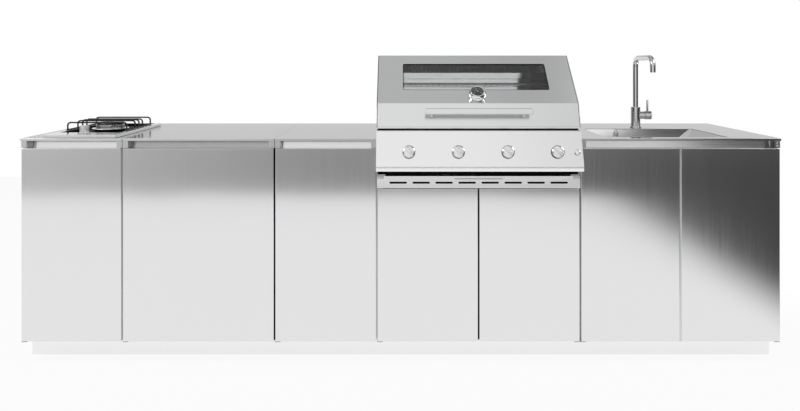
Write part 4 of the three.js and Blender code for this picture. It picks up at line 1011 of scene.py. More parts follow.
@dataclass
class Cabinets(SubAssembly):
    """The five steel cabinets, the plinth and the pivot rods."""

    cabinets: tuple[str, ...] = ("hob", "wide", "narrow", "grill", "sink")
    plinth_edge: float = 0.0012
    strip_gap: float = 0.0004
    free_place: Pair = (0.0014, 0.018)
    hinge_place: Pair = (0.0135, 0.006)

    def build(self) -> None:
        """Dress the cabinets, close the joints between them and fold the plinth's edges."""
        self.dress(self.finishes.cabinet, *[f"cabinet_{name}" for name in self.cabinets])
        satin, dark = self.finishes.satin, self.finishes.dark
        self.joint_strip("hob_joint_strip", "hob", "wide", self.hinge_place, satin, "cabinet_steel")
        self.joint_strip(
            "sink_joint_strip", "sink_left", "sink_right", self.free_place, satin, "cabinet_steel"
        )
        self.joint_strip("wide_joint_seal", "wide", "narrow", self.hinge_place, dark, "black_enamel")
        rods = [name for name in self.frame["nodes"] if name.startswith("pivot_rod_")]
        self.dress(self.finishes.plain, *rods)
        # The plinth's paler sheet is painted light against the overhang's shade.
        low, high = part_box("plinth")
        self.refined(
            "plinth", "root", "cabinet_steel", self.finishes.plinth, self.plinth_edge,
            lambda middle: middle.y < low.y + CLEARANCE or middle.y > high.y - CLEARANCE,
        )

    def joint_strip(
        self, name: str, left: str, right: str, place: Pair, material: bpy.types.Material, slot: str
    ) -> None:
        """Close the slot between two doors with a narrow strip, clear of a hinged door's sweep.

        Args:
            name: The strip's name.
            left: The door to its left.
            right: The door to its right.
            place: How far behind the doors' faces it starts, and its depth.
            material: Its finish.
            slot: The record's slot of that finish.
        """
        left_low, left_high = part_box(f"door_{left}")
        right_low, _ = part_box(f"door_{right}")
        front = left_low.y + place[0]
        strip = Shape().block(
            (left_high.x + self.strip_gap, front, left_low.z),
            (right_low.x - self.strip_gap, front + place[1], left_high.z), self.strip_gap / 2,
        )
        self.fit(strip.piece(name, material, flat=True), "root", slot)


@dataclass
class FingerRails(SubAssembly):
    """The slanted linings and end cheeks of the finger recesses, and the screws of the end post."""

    names: tuple[str, ...] = ("hob", "wide", "narrow", "sink")
    post: float = 0.0225
    rail_front: float = -0.283
    leans: dict[str, float] = field(
        default_factory=lambda: {"hob": 0.0085, "wide": 0.0085, "narrow": 0.0085, "sink": 0.0045}
    )
    sheet: float = 0.0006
    cheek_depth: float = 0.039
    cheek_bottom: float = 0.8465
    bottom: float = 0.8175
    top: float = 0.8735
    screw_radius: float = 0.0035
    screw_height: float = 0.0016
    screw_slot: float = 0.0009
    screw_setback: float = 0.002 - CLEARANCE
    screw_floor: float = 0.03
    screw_shares: Pair = (0.3, 0.7)

    def build(self) -> None:
        """Fit a lining behind each finger recess, and two screws to the row's right post."""
        for name in self.names:
            low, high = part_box(f"cabinet_{name}")
            self.lining(name, low.x + self.post, high.x - self.post)
        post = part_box("cabinet_sink")[1].x - self.post / 2
        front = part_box("door_sink_right")[0].y + self.screw_setback
        floor = self.bottom + self.screw_floor
        screws = Shape()
        for share in self.screw_shares:
            place = (post, front, floor + (self.top - floor) * share)
            screw_head(screws, place, (0, -1, 0), self.screw_radius, self.screw_height, self.screw_slot)
        self.fit(screws.piece("end_post_screws", self.finishes.tap), "root", "tap_steel")

    def lining(self, name: str, left: float, right: float) -> None:
        """One lining, a thin sheet that leans back towards its top, and the cheek at its end.

        Args:
            name: The cabinet's name.
            left: X of its left end.
            right: X of its right end.
        """
        back = self.rail_front - CLEARANCE
        lean = self.leans[name]
        section = [
            (back, self.top), (back - self.sheet, self.top), (back - lean - self.sheet, self.bottom),
            (back, self.bottom), (back, self.bottom + self.sheet), (back - lean, self.bottom + self.sheet),
        ]
        shape = Shape().plate(section, left, right, across())
        # The wide cabinet's lining takes the darker copy: painted shade.
        finish = self.finishes.shaded_rail if name == "wide" else self.finishes.rail
        self.fit(shape.piece(f"finger_rail_{name}", finish, flat=True), "root", "cabinet_steel")
        at_right = name == "sink"
        end = right - self.sheet - CLEARANCE if at_right else left + CLEARANCE
        cheek = Shape().block(
            (end, self.rail_front - self.cheek_depth, self.cheek_bottom),
            (end + self.sheet, self.rail_front - 2 * lean, self.top),
        )
        # The cheek at the row's right end is dark: painted shade at the end of the sink's recess.
        cheek_finish = self.finishes.black_chrome_shade if at_right else self.finishes.satin
        self.fit(cheek.piece(f"finger_rail_{name}_cheek", cheek_finish), "root", "cabinet_steel")


@dataclass
class Worktops(SubAssembly):
    """Worktops in one height, each a sheet folded down at its rim."""

    names: tuple[str, ...] = ("hob", "wide", "narrow", "sink")
    edge_radius: float = 0.0012

    def build(self) -> None:
        """Fold each worktop's outer rim."""
        for name in self.names:
            node = f"worktop_{name}"
            low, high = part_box(node)

            def on_rim(middle: Vector, low: Vector = low, high: Vector = high) -> bool:
                """Whether a point lies on the outer rim."""
                sides = (middle.x - low.x, high.x - middle.x, middle.y - low.y, high.y - middle.y)
                return min(sides) < CLEARANCE

            self.refined(node, "root", "worktop_steel", self.finishes.worktop, self.edge_radius, on_rim)


@dataclass
class VentRail(SubAssembly):
    """The slotted channel over the grill doors, with its end brackets and screws."""

    edge_radius: float = 0.0022
    lean: float = 0.0028
    bracket_width: float = 0.026
    bracket_height: float = 0.012
    bracket_depth: float = 0.0016
    screw_radius: float = 0.0042
    screw_height: float = 0.0018
    slot_width: float = 0.0011
    shadow_line_width: float = 0.19
    shadow_line_height: float = 0.003
    sheet: float = 0.002
    post: float = 0.023
    baffle: float = 0.0015

    def build(self) -> None:
        """Make the channel, the brackets, the screws and the grey strip that paints a shadow line."""
        low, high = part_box("vent_rail")
        shape = Shape().copy(self.node("vent_rail"))
        for vertex in shape.mesh.verts:
            if vertex.co.y < low.y + self.sheet * 2:
                vertex.co.y += self.lean * (vertex.co.z - low.z) / (high.z - low.z)
        shape.fold(
            self.edge_radius,
            lambda middle: middle.y < low.y + self.lean + CLEARANCE
            and (middle.z < low.z + CLEARANCE or middle.z > high.z - CLEARANCE),
        )
        # The channel takes the paler sheet: painted light, so the rail reads bright.
        channel = shape.piece("vent_rail_sheet", self.finishes.fascia, flat=True)
        self.fit(channel, "root", "cabinet_steel", "vent_rail")
        brackets = Shape()
        screws = Shape()
        for side in (-1, 1):
            outer = high.x if side > 0 else low.x
            inner = outer - side * self.bracket_width
            brackets.block(
                (min(outer, inner), low.y - self.bracket_depth, high.z - self.bracket_height),
                (max(outer, inner), low.y - CLEARANCE, high.z), self.bracket_depth / 3,
            )
            spot = (
                outer - side * self.bracket_width / 2, low.y - self.bracket_depth,
                high.z - self.bracket_height / 2,
            )
            screw_head(screws, spot, (0, -1, 0), self.screw_radius, self.screw_height, self.slot_width)
        made = brackets.piece("vent_rail_brackets", self.finishes.grill, flat=True)
        self.fit(made, "root", "cabinet_steel")
        self.fit(screws.piece("vent_rail_screws", self.finishes.tap), "root", "tap_steel")
        # A dark sheet behind the slots: painted shade, so the slots read black.
        web = low.y + self.sheet + self.lean
        baffle = Shape().block(
            (low.x + self.post, web + CLEARANCE, low.z + self.sheet + CLEARANCE),
            (high.x - self.post, web + self.baffle, high.z - self.sheet - CLEARANCE),
        )
        self.fit(baffle.piece("vent_rail_baffle", self.finishes.dark), "root", "black_enamel")
        # A strip of grey mill-finish steel across the rail's middle: painted shadow, a thin dark line below
        # the rail's top.
        middle, foot = (low.x + high.x) / 2, high.z - self.bracket_height
        shadow_line_strip = Shape().block(
            (middle - self.shadow_line_width / 2, low.y - self.bracket_depth, foot),
            (middle + self.shadow_line_width / 2, low.y - CLEARANCE, foot + self.shadow_line_height),
            self.bracket_depth / 3,
        )
        self.fit(shadow_line_strip.piece("painted_shadow_line_strip", self.finishes.plain, flat=True), "root", "plain_steel")


def screw_head(
    shape: Shape, place: Sequence[float], out: Sequence[float], radius: float, height: float, slot: float,
) -> None:
    """Add a domed screw head with a cross of raised quarters to a shape.

    Args:
        shape: Shape that gets it.
        place: Middle of its seat.
        out: Direction that it faces.
        radius: Its radius.
        height: Its height.
        slot: Width of the cross.
    """
    frame = square_frame(place, out)
    dome = arc((0, height - radius * 1.6), radius * 1.6, 90 - 38, 90, 6)
    scale = radius / dome[0][0]
    profile = [(0.0, 0.0), (radius, 0.0), *[(x * scale, z) for x, z in dome[:-1]], (0.0, height)]
    shape.turn(profile, frame, steps=32)
    for turn in (0, 90):
        cross = frame @ Matrix.Rotation(math.radians(turn), 4, "Z")
        outline = rounded_outline((-radius * 0.6, -slot / 2), (radius * 0.6, slot / 2), slot / 2.5, 3)
        shape.plate(outline, height - slot / 2, height + slot / 4, cross)


@dataclass
class Hood(SubAssembly):
    """The grill's hood: a folded skin between two cheeks, with a window, a handle and a thermometer."""

    crease_radius: float = 0.0035
    seam: float = 0.0018
    cheek: float = 0.0022
    lip_radius: float = 0.0032
    rod_reach: float = 0.006
    backing_share: float = 0.992
    pane_corner: float = 0.008
    pane_edge: float = 0.0005
    gasket: float = 0.0025
    gasket_lap: float = 0.012
    grip_depth: float = 0.012
    grip_corner: float = 0.004
    grip_edge: float = 0.0022
    post_radius: float = 0.007
    post_inset: float = 0.026
    ferrule_radius: float = 0.011
    ferrule_height: float = 0.003
    baffle_sheet: float = 0.0008
    baffle_inset: float = 0.006
    baffle_line: tuple[Pair, ...] = ((0.1665, 1.03), (0.1725, 1.107), (0.138, 1.1085), (0.139, 1.134))
    strip_inset: float = 0.003
    strip_rise: float = 0.0003
    profile: list[Pair] = field(default_factory=list)

    def build(self) -> None:
        """Make the hood and what it carries."""
        self.low, self.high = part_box("hood")
        points = {
            (round(v.co.y, 5), round(v.co.z, 5))
            for v in self.node("hood").data.vertices
            if v.co.x > self.high.x - CLEARANCE
        }
        self.profile = sorted(points)
        lip, crease, top = [Vector((0, y, z)) for y, z in self.profile[:3]]
        self.lower = self.panel_frame(lip, crease)
        self.upper = self.panel_frame(crease, top)
        self.skin()
        self.lip(lip)
        self.baffle()
        self.window()
        self.handle()
        Thermometer(self.frame, self.finishes, self.upper).build()
        self.dress(self.finishes.plain, "hood_hinge_rod")

    def panel_frame(self, start: Vector, end: Vector) -> Matrix:
        """A frame on a panel: X along the row, Y up the slope from its lower edge, Z out of it.

        Args:
            start: Where the panel starts, in the hood's section.
            end: Where it ends.

        Returns:
            The frame.
        """
        middle = Vector(((self.low.x + self.high.x) / 2, start.y, start.z))
        slope = (end - start).normalized()
        return square_frame(middle, Vector((1, 0, 0)).cross(slope))

    def skin(self) -> None:
        """The folded skin, cut back at both ends, and a cheek beyond a fine seam at each end."""
        shape = Shape().copy(self.node("hood"))
        inset = self.cheek + self.seam
        shape.cut((self.high.x - inset, 0, 0), (1, 0, 0))
        shape.cut((self.low.x + inset, 0, 0), (-1, 0, 0))

        def on_crease(middle: Vector) -> bool:
            """Whether a point lies on one of the long folds."""
            near = any(abs(middle.y - y) + abs(middle.z - z) < CLEARANCE for y, z in self.profile)
            aside = abs(middle.x - (self.low.x + self.high.x) / 2)
            return near and aside < (self.high.x - self.low.x) / 4

        shape.fold(self.crease_radius, on_crease)
        skin = shape.piece("hood_skin", self.finishes.grill, flat=True)
        self.fit(skin, "hood", "grill_steel", "hood")
        hinge = self.joint("hood_hinge")["pos_m"]
        outline = [p for p in self.profile if math.dist(p, hinge[1:]) > self.rod_reach]
        middle_y = sum(p[0] for p in outline) / len(outline)
        middle_z = sum(p[1] for p in outline) / len(outline)
        outline.sort(key=lambda p: math.atan2(p[1] - middle_z, p[0] - middle_y))
        cheeks = Shape()
        for x in (self.low.x, self.high.x - self.cheek):
            cheeks.plate(outline, 0, self.cheek, across(x), self.cheek / 4)
        self.fit(cheeks.piece("hood_cheeks", self.finishes.grill, flat=True), "hood", "grill_steel")
        # Dark plates just inside the seams at both ends: painted shade, so each seam reads as a dark line.
        share = self.backing_share
        shrunk = [(middle_y + (y - middle_y) * share, middle_z + (z - middle_z) * share) for y, z in outline]
        backing = Shape()
        for x in (self.low.x + self.cheek, self.high.x - inset):
            backing.plate(shrunk, CLEARANCE / 3, self.seam - CLEARANCE / 3, across(x))
        self.fit(backing.piece("hood_seam_backing", self.finishes.dark), "hood", "black_enamel")

    def lip(self, lip: Vector) -> None:
        """The rolled bead along the hood's lower front edge.

        Args:
            lip: The edge's place, in the hood's section.
        """
        y = lip.y + self.lip_radius * 0.4
        z = lip.z + self.lip_radius * 1.2
        reach = self.cheek + self.seam
        route = [Vector((self.low.x + reach, y, z)), Vector((self.high.x - reach, y, z))]
        bead = Shape().tube(route, self.lip_radius, 24)
        self.fit(bead.piece("hood_lip_bead", self.finishes.chrome), "hood", "grill_steel")

    def baffle(self) -> None:
        """The stepped baffle inside the hood's back, which shows through the window."""
        sheet = self.baffle_sheet
        line = [*self.baffle_line, *[(y + sheet, z + sheet) for y, z in reversed(self.baffle_line)]]
        inset = self.baffle_inset
        shape = Shape().plate(line, self.low.x + inset, self.high.x - inset, across())
        self.fit(shape.piece("hood_flue_baffle", self.finishes.liner, flat=True), "hood", "plain_steel")

    def window(self) -> None:
        """The pane with ground edges, and the black gasket that seals it round the opening."""
        low, high = self.local_box("hood_window", self.upper)
        corner, lap = self.pane_corner, self.gasket_lap
        outline = rounded_outline((low.x, low.y), (high.x, high.y), corner)
        pane = Shape().plate(outline, low.z, high.z, self.upper, self.pane_edge)
        made = pane.piece("hood_window_pane", self.finishes.window, flat=True)
        self.fit(made, "hood", "window_glass", "hood_window")
        inner = rounded_outline((low.x + lap, low.y + lap), (high.x - lap, high.y - lap), corner)
        cord = [self.upper @ Vector((x, y, -self.gasket / 2)) for x, y in inner]
        seal = Shape().loft(self.closed_ring(cord, self.gasket / 2), caps=False)
        self.fit(seal.piece("hood_window_gasket", self.finishes.dark), "hood", "black_enamel")

    def closed_ring(self, route: Sequence[Vector], radius: float) -> list[list[Vector]]:
        """Rings of a tube that closes on itself, set inside its route by its own radius.

        Args:
            route: Points of the route, on the window's panel.
            radius: Radius of the tube.

        Returns:
            The rings, with the first one again at the end.
        """
        centre = sum(route, Vector()) / len(route)
        out = self.upper.to_3x3() @ Vector((0, 0, 1))
        rings = []
        for i, point in enumerate(route):
            along = (route[(i + 1) % len(route)] - route[i - 1]).normalized()
            side = along.cross(out)
            if side.dot(point - centre) < 0:
                side = -side
            rings.append([point + side * (x - radius) + out * y for x, y in round_points(radius, 10)])
        return [*rings, rings[0]]

    def handle(self) -> None:
        """The flat grip with round edges, and its two posts with ferrules."""
        low, high = self.local_box("hood_handle", self.lower)
        outline = rounded_outline((low.x, low.y), (high.x, high.y), self.grip_corner)
        shape = Shape().plate(outline, high.z - self.grip_depth, high.z, self.lower, self.grip_edge)
        post, ferrule, tall = self.post_radius, self.ferrule_radius, self.ferrule_height
        end = high.z - self.grip_depth * 0.7
        profile = [
            (0, CLEARANCE), (ferrule, CLEARANCE), (ferrule, tall * 0.7), (ferrule * 0.92, tall),
            (post, tall), (post, end), (0, end),
        ]
        middle = (low.y + high.y) / 2
        for x in (low.x + self.post_inset, high.x - self.post_inset):
            shape.turn(profile, self.lower @ Matrix.Translation((x, middle, 0)), steps=40)
        handle = shape.piece("hood_handle_bar", self.finishes.grill, flat=True)
        self.fit(handle, "hood", "grill_steel", "hood_handle")
        # A dark strip along the grip's top: a painted shade line over the grip.
        inset, rise = self.strip_inset, self.strip_rise
        corners = (low.x + inset, high.y - rise), (high.x - inset, high.y + rise)
        outline = rounded_outline(*corners, rise / 3, 2)
        strip = Shape().plate(outline, high.z - self.grip_depth + inset, high.z - inset / 2, self.lower)
        self.fit(strip.piece("hood_handle_top_strip", self.finishes.black_chrome_shade), "hood", "black_enamel")


@dataclass
class Thermometer(SubAssembly):
    """The hood's thermometer: a chromed bell on a flange, with a printed dial under glass."""

    panel: Matrix
    probe_radius: float = 0.005
    dial_margin: float = 0.0042
    tick_count: int = 21
    tick_group: int = 4
    sweep: float = 250.0
    figures: tuple[int, ...] = (50, 100, 150, 200, 250, 300)
    figure_size: float = 0.0052
    flank_steps: int = 18
    foot_share: float = 0.7
    belly_share: float = 0.4
    lower_reach: float = 0.0165
    upper_reach: float = 0.0285
    needle_share: float = 0.36

    def build(self) -> None:
        """Make the housing, the dial, its print, the needle and the glass."""
        low, high = self.local_box("thermometer_dial", self.panel)
        case_low, case_high = self.local_box("thermometer_housing", self.panel)
        centre = ((low.x + high.x) / 2, (low.y + high.y) / 2)
        frame = self.panel @ Matrix.Translation((*centre, 0))
        base = (case_high.x - case_low.x) / 2
        rim = (high.x - low.x) / 2 + self.dial_margin
        top = case_high.z
        floor = low.z - CLEARANCE
        dial = rim - self.dial_margin + CLEARANCE
        probe = self.probe_radius
        housing = Shape().turn(
            [
                (0, case_low.z), (probe * 0.5, case_low.z), (probe, case_low.z + probe), (probe, CLEARANCE),
                (base * self.foot_share, CLEARANCE), *self.flank(base - 0.0005, 0.0032, top - 0.0024),
                *arc((rim - 0.0006, top - 0.0022), 0.0022, 20, 100, 5), (dial, top - 0.0012), (dial, floor),
                (0, floor),
            ],
            frame,
        )
        bell = housing.piece("thermometer_bell", self.finishes.chrome)
        self.fit(bell, "hood", "bright_chrome", "thermometer_housing")
        face = floor + CLEARANCE
        edge = dial - CLEARANCE
        disc = Shape().turn([(0, face), (edge, face), (edge, face + 0.0008), (0, face + 0.001)], frame)
        self.fit(disc.piece("thermometer_face", self.finishes.dial), "hood", "dial_face", "thermometer_dial")
        self.print_marks(frame, dial, face + 0.001)
        self.add_needle(frame, dial, face + 0.0016)
        glass = top - 0.0014
        lens = Shape().turn(
            [
                (0, glass - 0.001), (edge, glass - 0.001), (edge, glass - 0.0002),
                (dial * 0.6, glass + 0.0004), (0, glass + 0.0008),
            ],
            frame,
        )
        self.fit(lens.piece("thermometer_lens", self.finishes.clear), "hood", "window_glass")

    def flank(self, belly: float, low: float, high: float) -> list[Pair]:
        """The bell's flank, which swells to its belly and draws in again to its rim.

        Args:
            belly: Radius at the widest.
            low: Height where it starts.
            high: Height where it ends.

        Returns:
            Points of radius and height.
        """
        points = []
        widest = low + (high - low) * self.belly_share
        for i in range(self.flank_steps + 1):
            height = low + (high - low) * i / self.flank_steps
            reach = self.lower_reach if height < widest else self.upper_reach
            share = (height - widest) / reach
            points.append((belly * math.sqrt(1 - share * share), height))
        return points

    def print_marks(self, frame: Matrix, radius: float, height: float) -> None:
        """Ticks and plain figures round the dial.

        Args:
            frame: The dial's frame.
            radius: Its radius.
            height: Height of its face.
        """
        marks = Shape()
        outer = radius * 0.95
        for i in range(self.tick_count):
            angle = math.radians(90 + self.sweep / 2 - self.sweep * i / (self.tick_count - 1))
            long = i % self.tick_group == 0
            inner = radius * (0.8 if long else 0.87)
            half = (0.0009 if long else 0.0005) / 2
            turned = frame @ Matrix.Rotation(angle, 4, "Z")
            outline = [(inner, -half), (outer, -half), (outer, half), (inner, half)]
            marks.plate(outline, height, height + 0.0002, turned)
        for i, figure in enumerate(self.figures):
            angle = math.radians(90 + self.sweep / 2 - self.sweep * i / (len(self.figures) - 1))
            spot = Vector((math.cos(angle), math.sin(angle), 0)) * radius * 0.6
            spot.z = height + 0.0001
            marks.add(lettering(str(figure), self.figure_size, 0.0001), frame @ Matrix.Translation(spot))
        self.fit(marks.piece("thermometer_print", self.finishes.mark), "hood", "dial_face")

    def add_needle(self, frame: Matrix, radius: float, height: float) -> None:
        """The needle on its hub.

        Args:
            frame: The dial's frame.
            radius: Its radius.
            height: Height of the needle's underside.
        """
        angle = math.radians(90 + self.sweep / 2 - self.sweep * self.needle_share)
        turned = frame @ Matrix.Rotation(angle, 4, "Z")
        reach = radius * 0.78
        outline = [(-reach * 0.25, -0.0009), (reach, -0.0003), (reach, 0.0003), (-reach * 0.25, 0.0009)]
        hub = [(0, height), (0.0024, height), (0.002, height + 0.0009), (0, height + 0.001)]
        shape = Shape().plate(outline, height, height + 0.0004, turned)
        shape.turn(hub, frame, steps=24)
        self.fit(shape.piece("thermometer_needle", self.finishes.needle), "hood", "dial_face")


@dataclass
class Fascia(SubAssembly):
    """The sloping control panel, its four knobs and the ignition button."""

    roll_radius: float = 0.0075
    edge_radius: float = 0.0012
    skirt_radius: float = 0.025
    skirt_height: float = 0.008
    face_height: float = 0.007
    spindle_bore: float = 0.0043
    grip_inset: float = 0.0026
    head_height: float = 0.006
    lobes: int = 8
    lobe_depth: float = 0.035

    def build(self) -> None:
        """Make the panel, the knobs and the button."""
        low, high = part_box("control_fascia")
        shape = Shape().copy(self.node("control_fascia"))
        front_edge = low.y + CLEARANCE
        shape.fold(self.roll_radius, lambda m: m.y < front_edge and m.z > low.z + 0.015, 6)
        shape.fold(self.edge_radius, lambda m: abs(m.x - low.x) < CLEARANCE or abs(m.x - high.x) < CLEARANCE)
        # The panel's paler sheet is painted light.
        panel = shape.piece("control_fascia_sheet", self.finishes.fascia, flat=True)
        self.fit(panel, "root", "grill_steel", "control_fascia")
        for i in range(1, 5):
            self.knob(i)
        self.button()

    def knob(self, number: int) -> None:
        """One knob: a stepped skirt, a domed face and a grip bar with a pointer line.

        Args:
            number: The knob's number, from the left.
        """
        node = f"knob_{number}"
        frame = self.joint_frame(f"{node}_turn")
        low, high = self.local_box(node, frame)
        skirt, bore, seat = self.skirt_radius, self.spindle_bore, low.z
        skirt_top = seat + self.skirt_height
        face = skirt_top + self.face_height
        # The skirt's wall is dark black chrome: partly the knob's own dark skirt, partly painted shade of
        # the gap between knob and panel.
        wall = Shape().turn(
            [
                (bore, seat), (skirt - 0.0008, seat), (skirt, seat + 0.0008), (skirt, skirt_top - 0.0022),
                (skirt - 0.0006, skirt_top - 0.0016), (bore, skirt_top - 0.0016),
            ],
            frame,
        )
        self.fit(wall.piece(f"{node}_skirt", self.finishes.black_chrome_shade), node, "bright_chrome")
        shape = Shape().turn(
            [
                (bore, skirt_top - 0.0015), (skirt - 0.0008, skirt_top - 0.0015),
                *arc((skirt - 0.0022, skirt_top - 0.0012), 0.0012, 0, 80, 4), (0.0214, skirt_top + 0.0012),
                (0.0206, face - 0.0026), *arc((0.0188, face - 0.0024), 0.0018, 10, 80, 5),
                (0.012, face + 0.0002), (0, face + 0.0004),
            ],
            frame,
        )
        turned = frame @ Matrix.Rotation(math.radians(-45), 4, "Z")
        grip_half = min((high.x - low.x) / 2, skirt) - self.grip_inset
        grip = rounded_outline((-grip_half, -0.0052), (grip_half, 0.0052), 0.0045, 8)
        shape.plate(grip, skirt_top - 0.004, high.z, turned, 0.0016)
        knob = shape.piece(f"{node}_handle", self.finishes.spun, flat=True, axes=frame)
        self.fit(knob, node, "bright_chrome", node)
        inner, outer, half = grip_half * 0.35, grip_half * 0.9, 0.0006
        line = Shape().plate(
            [(inner, -half), (outer, -half), (outer, half), (inner, half)],
            high.z - CLEARANCE, high.z + CLEARANCE / 3, turned,
        )
        self.fit(line.piece(f"{node}_pointer", self.finishes.dark), node, "black_enamel")

    def button(self) -> None:
        """The ignition button: a chromed head with eight shallow lobes, on a stem."""
        name = "ignition_button"
        low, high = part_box(name)
        frame = square_frame((low + high) / 2, -Vector(self.joint("ignition_press")["axis"]))
        low, high = self.local_box(name, frame)
        head, top, bottom = (high.x - low.x) / 2, high.z, high.z - self.head_height
        levels = (
            (bottom, 0.94), (bottom + 0.001, 1.0), (top - 0.0016, 1.0), (top - 0.0004, 0.86), (top, 0.7)
        )
        rings = [
            lobed_ring(head * share, height, self.lobes, self.lobe_depth, 12) for height, share in levels
        ]
        foot, end = low.z, bottom + 0.0005
        stem = [(0, foot), (0.0045, foot), (0.005, foot + 0.0006), (0.005, end), (0, end)]
        shape = Shape().loft(rings, frame).turn(stem, frame, steps=32)
        self.fit(shape.piece(f"{name}_cap", self.finishes.chrome), name, "bright_chrome", name)


@dataclass
class GrillInside(SubAssembly):
    """Firebox, burners, gas manifold, grates, warming rack and drip tray."""

    edge_radius: float = 0.0008
    grate_edge: float = 0.0016
    port_radius: float = 0.0014
    port_count: int = 24
    burner_wall: float = 0.0025
    rack_rail: float = 0.003
    rack_wire: float = 0.002
    rack_bend: float = 0.012
    rack_wires: int = 26
    rim_height: float = 0.0024
    seal_setback: float = 0.014
    seal_inset: float = 0.008

    def build(self) -> None:
        """Dress or remake what is inside the grill."""
        self.dress(self.finishes.firebox, "firebox")
        # The drip tray's black front paints the shadow in the gap under the fascia.
        self.refined("drip_tray", "drip_tray", "black_enamel", self.finishes.tray, self.edge_radius)
        self.refined("grill_grate", "root", "cast_iron", self.finishes.iron, self.grate_edge)
        self.refined("hotplate", "root", "cast_iron", self.finishes.iron, self.grate_edge)
        self.dress(self.finishes.brass, "gas_manifold")
        for i in range(1, 5):
            self.burner(i)
        self.rack()
        self.seal()

    def seal(self) -> None:
        """The woven seal that lies along the front of the rim, under the hood's lip."""
        low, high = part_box("control_fascia")
        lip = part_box("hood")[0]
        rim = high.z + self.rim_height
        middle = (rim + lip.z) / 2
        y = lip.y + self.seal_setback
        route = [Vector((low.x + self.seal_inset, y, middle)), Vector((high.x - self.seal_inset, y, middle))]
        cord = Shape().tube(route, (lip.z - rim) / 2 - CLEARANCE, 16)
        self.fit(cord.piece("hood_rim_seal", self.finishes.dark), "root", "black_enamel")

    def burner(self, number: int) -> None:
        """One tube burner: an open mouth in front, a closed end behind and two rows of ports.

        Args:
            number: The burner's number, from the left.
        """
        node = f"burner_tube_{number}"
        low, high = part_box(node)
        radius, wall = (high.x - low.x) / 2, self.burner_wall
        x = (low.x + high.x) / 2
        z = (low.z + high.z) / 2
        frame = square_frame((x, low.y, z), (0, 1, 0))
        length = high.y - low.y
        shape = Shape().turn(
            [
                (0, length - wall), (radius - wall, length - wall), (radius - wall, 0.0006),
                (radius - wall / 2, 0), (radius, 0.0006), (radius, length - 0.003),
                (radius - 0.003, length), (0, length),
            ],
            frame, steps=40,
        )
        self.fit(shape.piece(f"{node}_pipe", self.finishes.plain), "root", "plain_steel", node)
        # Each port is a dark disc on the tube: painted shade in place of a hole.
        port, top = self.port_radius, CLEARANCE * 1.3
        profile = [(0, 0), (port, 0), (port * 0.9, top), (0, top)]
        ports = Shape()
        for i in range(self.port_count):
            y = low.y + length * (0.16 + 0.78 * i / (self.port_count - 1))
            for lean in (-35, 35):
                out = Vector((math.sin(math.radians(lean)), 0, math.cos(math.radians(lean))))
                spot = square_frame(Vector((x, y, z)) + out * (radius - CLEARANCE), out)
                ports.turn(profile, spot, steps=12)
        self.fit(ports.piece(f"{node}_ports", self.finishes.dark), "root", "black_enamel")

    def rack(self) -> None:
        """The warming rack: two bent rails and the wires across them."""
        low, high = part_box("warming_rack")
        rail, bend, count = self.rack_rail, self.rack_bend, self.rack_wires
        left, right = low.x + rail, high.x - rail
        level = high.z - rail
        shape = Shape()
        for y in (low.y + rail, high.y - rail):
            corners = [(left, y, low.z), (left, y, level), (right, y, level), (right, y, low.z)]
            shape.tube(bent_route(corners, bend), rail)
        pitch = (right - left - 2 * bend) / (count + 1)
        for i in range(count):
            x = left + bend + pitch * (i + 1)
            ends = [Vector((x, low.y + rail / 2, level)), Vector((x, high.y - rail / 2, level))]
            shape.tube(ends, self.rack_wire, 12)
        made = shape.piece("warming_rack_wires", self.finishes.chrome)
        self.fit(made, "root", "bright_chrome", "warming_rack")


